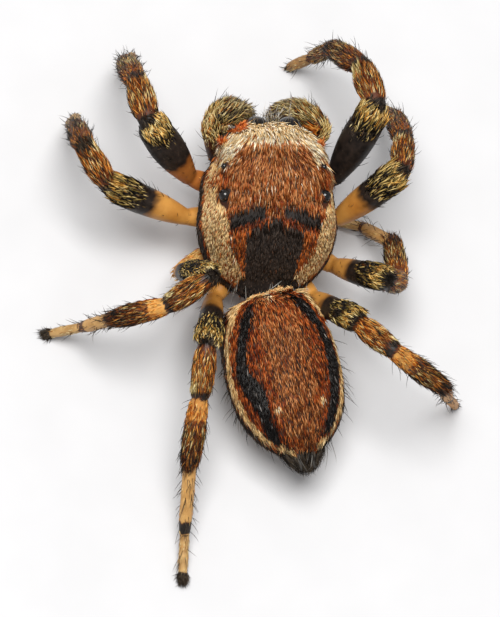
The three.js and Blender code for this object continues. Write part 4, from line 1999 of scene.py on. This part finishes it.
@dataclass(frozen=True)
class LensFinish:
    """Polished black eye with a faint brown depth."""

    name: str = "eye_lens_black"
    ends: Ends = ((0.002, 0.0022, 0.003, 1), (0.012, 0.008, 0.006, 1))
    clouds: float = 5200.0

    def material(self) -> Material:
        """Makes the material of the eyes.

        Returns:
            The material.
        """
        graph = Graph(self.name)
        cloud = graph.noise(self.clouds, 2.0)
        return graph.finish({"Base Color": graph.fade(cloud, self.ends, 0.35, 0.75),
                             "Roughness": cloud * 0.04 + 0.04, "Specular IOR Level": 0.48})


@dataclass(frozen=True)
class ShellFinish:
    """Hard brown shell of jaws, breastplate, claws and spinnerets."""

    name: str
    ends: Ends
    gloss: float
    relief: float = 0.00001
    clouds: float = 1500.0
    pits: float = 7000.0

    def material(self) -> Material:
        """Makes the material of the shell.

        Returns:
            The material.
        """
        graph = Graph(self.name)
        cloud, pits = graph.noise(self.clouds, 4.0), graph.noise(self.pits, 2.0)
        mixed = (cloud + (pits - 0.5) * 0.35).clamped()
        rough = self.gloss + (pits - 0.5) * 0.25
        return graph.finish({"Base Color": graph.fade(mixed, self.ends, high=0.72),
                             "Roughness": rough, "Specular IOR Level": 0.5},
                            pits, self.relief, 0.6)


@dataclass(frozen=True)
class FloorFinish:
    """Pale matt board under the model."""

    name: str = "floor_board"
    colour: float = 0.548
    step: float = 0.01
    tint: tuple[float, float, float] = (1.0, 1.004, 1.03)
    fibres: float = 900.0

    def material(self) -> Material:
        """Makes the material of the floor.

        Returns:
            The material.
        """
        graph = Graph(self.name)
        ends = [(*((self.colour + step) * share for share in self.tint), 1.0)
                for step in (-self.step, self.step)]
        colour = graph.fade(graph.noise(self.fibres, 2.0), ends)
        return graph.finish({"Base Color": colour, "Roughness": 0.9,
                             "Specular IOR Level": 0.1})


# ------------------------------------------------------------------ hard pieces


class HardPiece:
    """A piece of bare shell or glass, made of closed bodies."""

    name: str

    def lofts(self) -> list[Loft]:
        """Returns the closed bodies of the piece."""
        raise NotImplementedError

    def build(self) -> Object:
        """Makes the piece, clear of the floor.

        Returns:
            The piece as a scene object.
        """
        points, faces = joined(self.lofts())
        points[:, 2] = np.maximum(points[:, 2], SHELL_CLEARANCE)
        return new_object(self.name, points, triangulated(faces))


@dataclass
class Lens(HardPiece):
    """One eye: a domed lens in a narrow rim."""

    kind: str
    side: str
    edge: float = math.radians(112.0)

    @property
    def name(self) -> str:
        """Returns the name of the piece."""
        return f"lens_{self.kind}_{self.side}"

    def lofts(self) -> list[Loft]:
        """Draws the dome and its rim.

        Returns:
            The eye as one body.
        """
        place = EYES[self.kind]
        axis, centre = place.axis(SIDES[self.side]), place.centre(SIDES[self.side])
        side = unit(np.cross(axis, UP))
        over = np.cross(side, axis)
        rings = []
        for a in np.linspace(math.radians(2.0), self.edge, 26):
            ahead, half = (place.radius * 0.99 * way for way in (math.cos(a), math.sin(a)))
            rings.append(ring_around(centre + axis * ahead, side, over, half, half, 48))
        inner = centre + (rings[-1] - centre) * 0.8 - axis * place.radius * 0.18
        rings += [inner, centre - axis * place.radius * 0.62 + (inner - centre) * 0.02]
        return [Loft(np.array(rings))]


@dataclass
class Jaw(HardPiece):
    """One chelicera with its fang folded across under it."""

    side: str
    station: float = -1.0
    offset: float = 0.2
    top: float = 0.1
    length: float = 0.7
    half_width: Table = ((0, 0.13), (0.2, 0.15), (0.6, 0.15), (0.85, 0.135), (1, 0.09))
    half_depth: Table = ((0, 0.12), (0.25, 0.165), (0.6, 0.155), (0.85, 0.13), (1, 0.08))

    @property
    def name(self) -> str:
        """Returns the name of the piece."""
        return f"jaw_{self.side}"

    def lofts(self) -> list[Loft]:
        """Draws the jaw and its fang.

        Returns:
            The two bodies.
        """
        rings = []
        for t in np.linspace(0.0, 1.0, 24):
            centre = np.array([self.station - 0.1 * t,
                               SIDES[self.side] * (self.offset - 0.012 * t),
                               self.top - self.length * t])
            wide, deep = read_one(self.half_width, t), read_one(self.half_depth, t)
            rings.append(AXES.raw(ring_around(centre, ACROSS, -ALONG, wide, deep, 30)))
        return [Loft(np.array(rings)), self.fang()]

    def fang(self) -> Loft:
        """Draws the curved fang that lies across the end of the jaw.

        Returns:
            The fang.
        """
        rings = []
        for t in np.linspace(0.0, 1.0, 14):
            dip = 0.035 * math.sin(math.radians(20.0 + 120.0 * t))
            middle = np.array([self.station - 0.12 + 0.07 * t,
                               SIDES[self.side] * (self.offset + 0.06 - 0.15 * t),
                               self.top - self.length - dip])
            radius = 0.038 * (1.0 - 0.85 * t)
            rings.append(AXES.raw(ring_around(middle, ALONG, OVER, radius, radius, 12)))
        return Loft(np.array(rings))


@dataclass
class Breastplate(HardPiece):
    """Sternum: a low shield between the coxae."""

    name = "breastplate"
    station: float = 0.12
    height: float = -0.4
    length: float = 1.05
    width: float = 0.62
    thickness: float = 0.14
    levels: Table = ((-0.5, 0.12), (-0.49, 0.45), (-0.42, 0.75), (-0.25, 0.92), (0.05, 0.97),
                     (0.4, 0.9), (0.5, 0.6))

    def lofts(self) -> list[Loft]:
        """Draws the shield, level by level.

        Returns:
            The one body.
        """
        around = circle(48)
        scallop = 1.0 + 0.025 * np.cos(8.0 * around)
        broad = 1 + 0.12 * np.cos(around)
        rings = []
        for level, share in self.levels:
            along = self.station - self.length / 2 * share * np.cos(around) * scallop
            across = self.width / 2 * share * np.sin(around) * broad * scallop
            over = np.full(48, self.height + self.thickness * level)
            rings.append(AXES.raw(np.stack([along, across, over], axis=-1)))
        return [Loft(np.array(rings))]


@dataclass
class SpinningFingers(HardPiece):
    """Spinnerets: six short fingers at the end of the abdomen."""

    name = "spinning_fingers"
    abdomen: Abdomen
    length: float = 0.2
    layout: Sequence[tuple[float, float, float]] = (
        (0.085, 0.06, 1.0), (0.05, -0.03, 0.7), (0.075, -0.11, 0.85))

    def lofts(self) -> list[Loft]:
        """Draws the fingers, three on each side.

        Returns:
            The six bodies.
        """
        axis, _, side, over = self.abdomen.axes()
        start = np.array(self.abdomen.rear) - axis * 0.05
        bodies = []
        for sign in (1, -1):
            for across, up, size in self.layout:
                foot = start + side * sign * across + over * up
                tip = foot + axis * (self.length * size + 0.05) + side * sign * 0.015
                bodies.append(limb_loft(foot, tip, ((0, 0.055), (0.6, 0.045), (1, 0.022)), 14))
        return bodies


@dataclass
class Claws(HardPiece):
    """Pair of hooked claws at the end of every leg."""

    name = "claws"
    legs: list[Leg]
    length: float = 0.085
    radius: float = 0.011
    hook: float = math.radians(100.0)

    def lofts(self) -> list[Loft]:
        """Draws the claws.

        Returns:
            Two bodies for each leg.
        """
        bodies = []
        for leg in self.legs:
            heel, foot = leg.points()[-2:]
            axis, _, side, over = axes_between(heel, foot)
            for sign in (1, -1):
                rings = []
                for t in np.linspace(0.0, 1.0, 8):
                    ahead = self.length * math.sin(self.hook * t) * 0.7
                    down = self.length * (1 - math.cos(self.hook * t)) * 0.6 - 0.03
                    middle = foot + side * sign * 0.022 + axis * ahead - over * down
                    radius = self.radius * (1.0 - 0.85 * t)
                    rings.append(ring_around(middle, side, over, radius, radius, 8))
                bodies.append(Loft(np.array(rings)))
        return bodies


# ------------------------------------------------------------------ studio


@dataclass
class Studio:
    """Pale floor, soft light and the camera over the model."""

    aim: tuple[float, float, float] = (0.308, 1.578, 1.2)
    distance: float = 110.0
    sideways: float = 11.0
    backwards: float = 18.0
    roll: float = -3.0
    lens: float = 295.2
    box_place: tuple[float, float, float] = (0.02, -0.015, 0.17)
    box_size: float = 0.1
    box_power: float = 0.44
    box_colour: tuple[float, float, float] = (1.0, 0.985, 0.96)
    sky: float = 0.48
    floor: float = 0.4

    def camera(self) -> None:
        """Sets the camera above and a little behind the model."""
        towards = unit(np.array([math.tan(math.radians(self.sideways)),
                                 math.tan(math.radians(self.backwards)), 1.0]))
        up = np.array([0.0, -1.0, 0.0])
        up = unit(up - towards * np.dot(up, towards))
        right = np.cross(up, towards)
        turn = math.radians(self.roll)
        right, up = (right * math.cos(turn) + up * math.sin(turn),
                     up * math.cos(turn) - right * math.sin(turn))
        data = bpy.data.cameras.new("camera")
        data.sensor_fit = "VERTICAL"
        data.sensor_height = 24.0
        data.lens = self.lens
        data.clip_start = 0.005
        data.clip_end = 20.0
        camera = linked("camera", data)
        place = (np.array(self.aim) + SHIFT + towards * self.distance) * MM
        matrix = Matrix([[*row, where] for row, where in
                         zip(np.stack([right, up, towards], axis=-1).tolist(), place.tolist())]
                        + [[0.0, 0.0, 0.0, 1.0]])
        camera.matrix_world = matrix
        bpy.context.scene.camera = camera

    def light(self) -> None:
        """Hangs one soft box that shines on the model."""
        data = bpy.data.lights.new("box_key", "AREA")
        data.shape = "SQUARE"
        data.size = self.box_size
        data.energy = self.box_power
        data.color = self.box_colour
        lamp = linked("box_key", data)
        lamp.location = self.box_place
        lamp.visible_camera = False
        lamp.rotation_euler = Vector(self.box_place).to_track_quat("Z", "Y").to_euler()

    def build(self) -> None:
        """Makes floor, lights, sky and camera."""
        self.camera()
        mesh = bpy.data.meshes.new("floor")
        corners = [(x * self.floor, y * self.floor, 0.0) for x, y in
                   ((-1, -1), (1, -1), (1, 1), (-1, 1))]
        mesh.from_pydata(corners, [], [(0, 1, 2, 3)])
        floor = linked("floor", mesh)
        floor.data.materials.append(FloorFinish().material())
        self.light()
        world = bpy.data.worlds.new("soft_room")
        bpy.context.scene.world = world
        world.use_nodes = True
        sky = world.node_tree.nodes["Background"]
        sky.inputs["Color"].default_value = (1.0, 1.0, 1.0, 1.0)
        sky.inputs["Strength"].default_value = self.sky
        view = bpy.context.scene.view_settings
        view.view_transform = "Standard"
        view.look = "None"


# ------------------------------------------------------------------ whole spider


@dataclass
class Spider:
    """The whole animal: skin, coat, eyes and hard pieces."""

    carapace: Carapace = field(default_factory=Carapace)
    abdomen: Abdomen = field(default_factory=Abdomen)
    legs: list[Leg] = field(default_factory=lambda: [Leg(name) for name in LEG_POSES])
    palps: Sequence[Palp] = PALPS

    def parts(self) -> list[Part]:
        """Returns all parts under the one skin.

        Returns:
            Head and thorax, abdomen, palps and legs.
        """
        found: list[Part] = [self.carapace, self.abdomen]
        for palp in self.palps:
            found += palp.parts()
        for leg in self.legs:
            found += leg.parts()
        return found

    def dress(self, obj: Object, material: Material,
              replaces: Sequence[str] = ()) -> None:
        """Gives a piece its finish and ties it to the frame.

        Args:
            obj: The piece.
            material: Its finish.
            replaces: Solids that it stands for.
        """
        obj.data.materials.append(material)
        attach(obj, BODY)
        if replaces:
            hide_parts(*replaces)
        LOG.info("%s: %d faces", obj.name, len(obj.data.polygons))

    def build(self) -> None:
        """Builds and dresses every piece."""
        skin = Skin(self.parts())
        skin_object = skin.build()
        flesh = ["carapace", "abdomen", "pedicel"]
        flesh += [f"palp_{part}{side}" for side in SIDES for part in ("", "bulb_")]
        for leg in self.legs:
            flesh += leg.nodes()
        self.dress(skin_object, SkinFinish().material(), flesh)
        materials = {coat: coat.finish.material() for coat in Coat}
        for piece in self.coat(Bristles(skin)):
            self.dress(piece.build(skin), materials[piece.coat])
        self.build_hard_pieces()

    @staticmethod
    def coat(bristles: "Bristles") -> list[CoatPiece]:
        """Lists the pieces of the coat.

        Args:
            bristles: How the bristles differ from the coat under them.

        Returns:
            The pieces, in the order in which they are built.
        """
        halves = (("head", "carapace", 15800, (101, 113)),
                  ("abdomen", "abdomen", 14000, (102, 114)))
        quarters = [(side, end) for side in SIDES for end in (("front", 1), ("rear", 3))]
        # A few stripe hairs take the pale glint colours, as painted highlights on the black tufts.
        stripes = Accent(on_stripes, length=0.17, lift=12.0, width=0.018, pale=0.08)
        left_ember = Accent(on_embers, length=0.23, lift=34.0, width=0.017, aim=(-0.6, 0.15, 1.0))
        right_ember = Accent(on_embers, length=0.3, lift=36.0, width=0.018, aim=(-0.5, 0.8, 0.9))
        embers = (("left", 700, 116, 90.0, left_ember), ("right", 600, 117, 140.0, right_ember))
        claws = Accent(on_foot_end, length=0.12, lift=11.0, width=0.011)
        tail = Accent(on_tail, length=0.33, lift=5.0, width=0.011, pale=0.02,
                      aim=(1.0, 0.0, 0.0), goal=np.array([-0.64, 4.6, 0.76]))
        brow = Accent(on_brow, length=0.42, lift=42.0, width=0.006, pale=0.6,
                      aim=(-1.0, 0.0, 0.9))
        edge = Accent(on_rear_edge, length=0.3, lift=36.0, width=0.006, pale=1.0)
        whiskers = (("brow", 60, 111, 300.0, brow), ("rear", 20, 112, 200.0, edge))
        return [
            *(CoatPiece(f"coat_{word}_{side}", Coat.BODY, (part,), hairs, seed, 5.0, side=sign)
              for word, part, hairs, seeds in halves
              for (side, sign), seed in zip(SIDES.items(), seeds)),
            CoatPiece("stripe_tufts", Coat.JET, ("abdomen",), 3400, 115, 16.0, BRUSH,
                      stripes.change),
            *(CoatPiece(f"ember_tufts_{side}", Coat.EMBER, ("carapace",), hairs, seed, spread,
                        BRUSH, accent.change, SIDES[side])
              for side, hairs, seed, spread, accent in embers),
            CoatPiece("coat_palps", Coat.LEG, ("palp",), 9000, 103),
            *(CoatPiece(f"coat_legs_{side}_{end}", Coat.LEG,
                        (f"leg_{side}_{pair}", f"leg_{side}_{pair + 1}"), 15000, 104 + k)
              for k, (side, (end, pair)) in enumerate(quarters)),
            CoatPiece("bristles", Coat.BRISTLE, ("leg", "palp", "abdomen"), 4200, 108,
                      growth=Bristles.growth, change=bristles.change),
            CoatPiece("claw_tufts", Coat.BRISTLE, ("_tarsus",), 2600, 109, 8.0, STIFF,
                      claws.change),
            CoatPiece("tail_tuft", Coat.SILVER, ("abdomen",), 3000, 110, 30.0, BRUSH,
                      tail.change),
            *(CoatPiece(f"{word}_whiskers", Coat.SILVER, ("carapace",), hairs, seed, spread,
                        STIFF, accent.change)
              for word, hairs, seed, spread, accent in whiskers),
        ]

    def build_hard_pieces(self) -> None:
        """Builds eyes, jaws, breastplate, spinnerets and claws."""
        lens = LensFinish().material()
        for kind in EYES:
            for side in SIDES:
                self.dress(Lens(kind, side).build(), lens, [f"eye_{kind}_{side}"])
        jaw = ShellFinish("shell_jaw", (srgb(48, 24, 12), srgb(112, 60, 28)), 0.32).material()
        for side in SIDES:
            self.dress(Jaw(side).build(), jaw, [f"chelicera_{side}"])
        plate = ShellFinish("shell_breastplate", (srgb(40, 26, 16), srgb(96, 62, 34)), 0.4)
        self.dress(Breastplate().build(), plate.material(), ["sternum"])
        fingers = ShellFinish("shell_spinnerets", (srgb(14, 12, 10), srgb(40, 36, 32)), 0.7)
        self.dress(SpinningFingers(self.abdomen).build(), fingers.material(),
                   ["spinnerets"])
        claw = ShellFinish("shell_claw", (srgb(14, 10, 8), srgb(44, 30, 20)), 0.25)
        self.dress(Claws(self.legs).build(), claw.material())


@dataclass
class Bristles:
    """Long dark hairs that stand out from legs, palps and abdomen."""

    skin: Skin
    growth = Growth(steps=(0.0, 0.35, 0.7), widths=(1.0, 0.85, 0.55), bend=0.3, flatness=0.9,
                    sink=0.01, heading_spread=22.0, lift_spread=10.0, length_spread=0.35)
    habits = {
        "_tibia": (0.5, 0.2, 34.0), "_metatarsus": (0.5, 0.2, 34.0), "_tarsus": (0.3, 0.17, 34.0),
        "_coxa": (0.02, 0.17, 34.0), "_femur": (0.12, 0.13, 34.0), "palp": (0.2, 0.26, 48.0),
        "": (0.12, 0.17, 34.0),
    }

    def change(self, look: Look, places: Array, normals: Array) -> None:
        """Thins the coat out to long, dark, upright hairs.

        Args:
            look: The coat, changed in place.
            places: Roots on the skin.
            normals: Directions out of the skin at the roots.
        """
        owner = Skin.nearest_owner(self.skin.points, self.skin.owner, places)
        names = [part.name for part in self.skin.parts]
        rows = [next(row for word, row in self.habits.items() if word in name) for name in names]
        look.amount, look.length, look.lift = np.array(rows)[owner].T.copy()
        abdomen = owner == names.index("abdomen")
        if abdomen.any():
            share, angle = Abdomen().place(places[abdomen])
            outer = np.exp(-((np.abs(angle) - 86.0) / 14.0) ** 2) * rise(0.15, 0.4, share)
            back = rise(0.86, 0.97, share)
            look.amount[abdomen] = np.clip(0.03 + 0.55 * outer + 0.8 * back, 0, 1)
            look.length[abdomen] = 0.16 + 0.16 * np.maximum(outer, back * 0.6)
            look.lift[abdomen] = 26.0 + 24.0 * outer + 8.0 * back
        look.width[:] = 0.0085
        look.dark[:] = 1.0
        look.pale[:] = 0.0
        look.warm[:] = 0.0


@dataclass
class Accent:
    """A few special hairs that grow only on some stretch of the body."""

    where: Callable[[Look, Array], Array]
    length: float
    lift: float
    width: float
    pale: float = 0.0
    aim: Optional[tuple[float, float, float]] = None
    goal: Optional[Array] = None

    def change(self, look: Look, places: Array, normals: Array) -> None:
        """Keeps only the chosen stretch and gives its hairs their size.

        Args:
            look: The coat, changed in place.
            places: Roots on the skin.
            normals: Directions out of the skin at the roots.
        """
        count = len(places)
        look.amount = self.where(look, places)
        look.length = np.full(count, self.length)
        look.lift = np.full(count, self.lift)
        look.width = np.full(count, self.width)
        look.pale = np.full(count, self.pale)
        look.dark = np.full(count, 1.0 - self.pale)
        look.warm = np.zeros(count)
        if self.aim is not None:
            ways = np.tile(np.array(self.aim), (count, 1))
            ways[:, 1] *= np.sign(AXES.local(places)[1])
            ways = AXES.turn(ways)
            if self.goal is not None:
                ways = self.goal - places
            ways = unit(ways)
            look.lie = flatten_on(ways, normals)
            steep = np.degrees(np.arcsin(np.clip(dot(ways, normals), -1.0, 1.0)))
            look.lift = np.maximum(look.lift, steep)


STIFF = Growth(steps=(0.0, 0.5), widths=(0.8, 1.0), bend=0.2, flatness=0.8, sink=0.006,
               heading_spread=24.0, lift_spread=14.0, length_spread=0.3)
BRUSH = Growth(steps=(0.0, 0.35, 0.7), widths=(0.8, 1.0, 0.7), bend=0.45, flatness=0.6,
               heading_spread=9.0, lift_spread=6.0)


def on_foot_end(look: Look, places: Array) -> Array:
    """Returns how thick the pads of claw hair are, fullest on the rear feet of the left side."""
    full = 0.06 + 0.94 * (places[:, 1] > 0.0) * (places[:, 0] > 0.0)
    return rise(0.84, 0.92, look.chart[:, 0] * 1.4 - 0.2) * full


def on_tail(look: Look, places: Array) -> Array:
    """Returns 1 around the end of the abdomen.

    Args:
        look: The coat at the roots.
        places: Roots on the skin.

    Returns:
        One value for each root.
    """
    share, angle = Abdomen().place(places)
    start = np.where(np.abs(angle) < 62.0, 0.972, 0.935)
    return rise(start, start + 0.025, share)


def on_brow(look: Look, places: Array) -> Array:
    """Returns 1 along the front edge of the head, between and over the eyes."""
    along, across, over = AXES.local(places)
    return (1.0 - rise(-1.16, -1.1, along)) * (np.abs(across) < 0.42) * (over > 0.66)


def on_embers(look: Look, places: Array) -> Array:
    """Returns 1 on the orange tufts around the small front eyes.

    Args:
        look: The coat at the roots.
        places: Roots on the skin.

    Returns:
        One value for each root.
    """
    along, across, over = AXES.local(places)
    side = np.abs(across + 0.02)
    left = across > 0
    inner = (np.hypot(along + 1.13, side - 0.54) < 0.11) & (over > 0.5) & left
    outer = np.hypot(along + np.where(left, 0.93, 0.88), side - np.where(left, 0.79, 0.77)) < 0.12
    return 1.0 * (inner | (outer & (over > np.where(left, 0.35, 0.45))))


def on_stripes(look: Look, places: Array) -> Array:
    """Returns 1 on the black stripes of the abdomen.

    Args:
        look: The coat at the roots.
        places: Roots on the skin.

    Returns:
        One value for each root.
    """
    share, angle = Abdomen().place(places)
    turn = angle + 1.5 * ripple(places, 0.22, 22)
    mark, beyond = Abdomen.inside(Abdomen.stripes, share, turn, 1.0)
    return mark * (beyond < -1.5) * (share > 0.04)


def on_rear_edge(look: Look, places: Array) -> Array:
    """Returns 1 along the rear edge of the shield."""
    along, _, over = AXES.local(places)
    return rise(1.0, 1.1, along) * (over > 0.2)


def main() -> None:
    """Builds the studio and the spider, logging how many faces and hairs each piece has."""
    logging.basicConfig(level=logging.INFO, format="%(message)s")
    Studio().build()
    Spider().build()


if __name__ == "__main__":
    main()
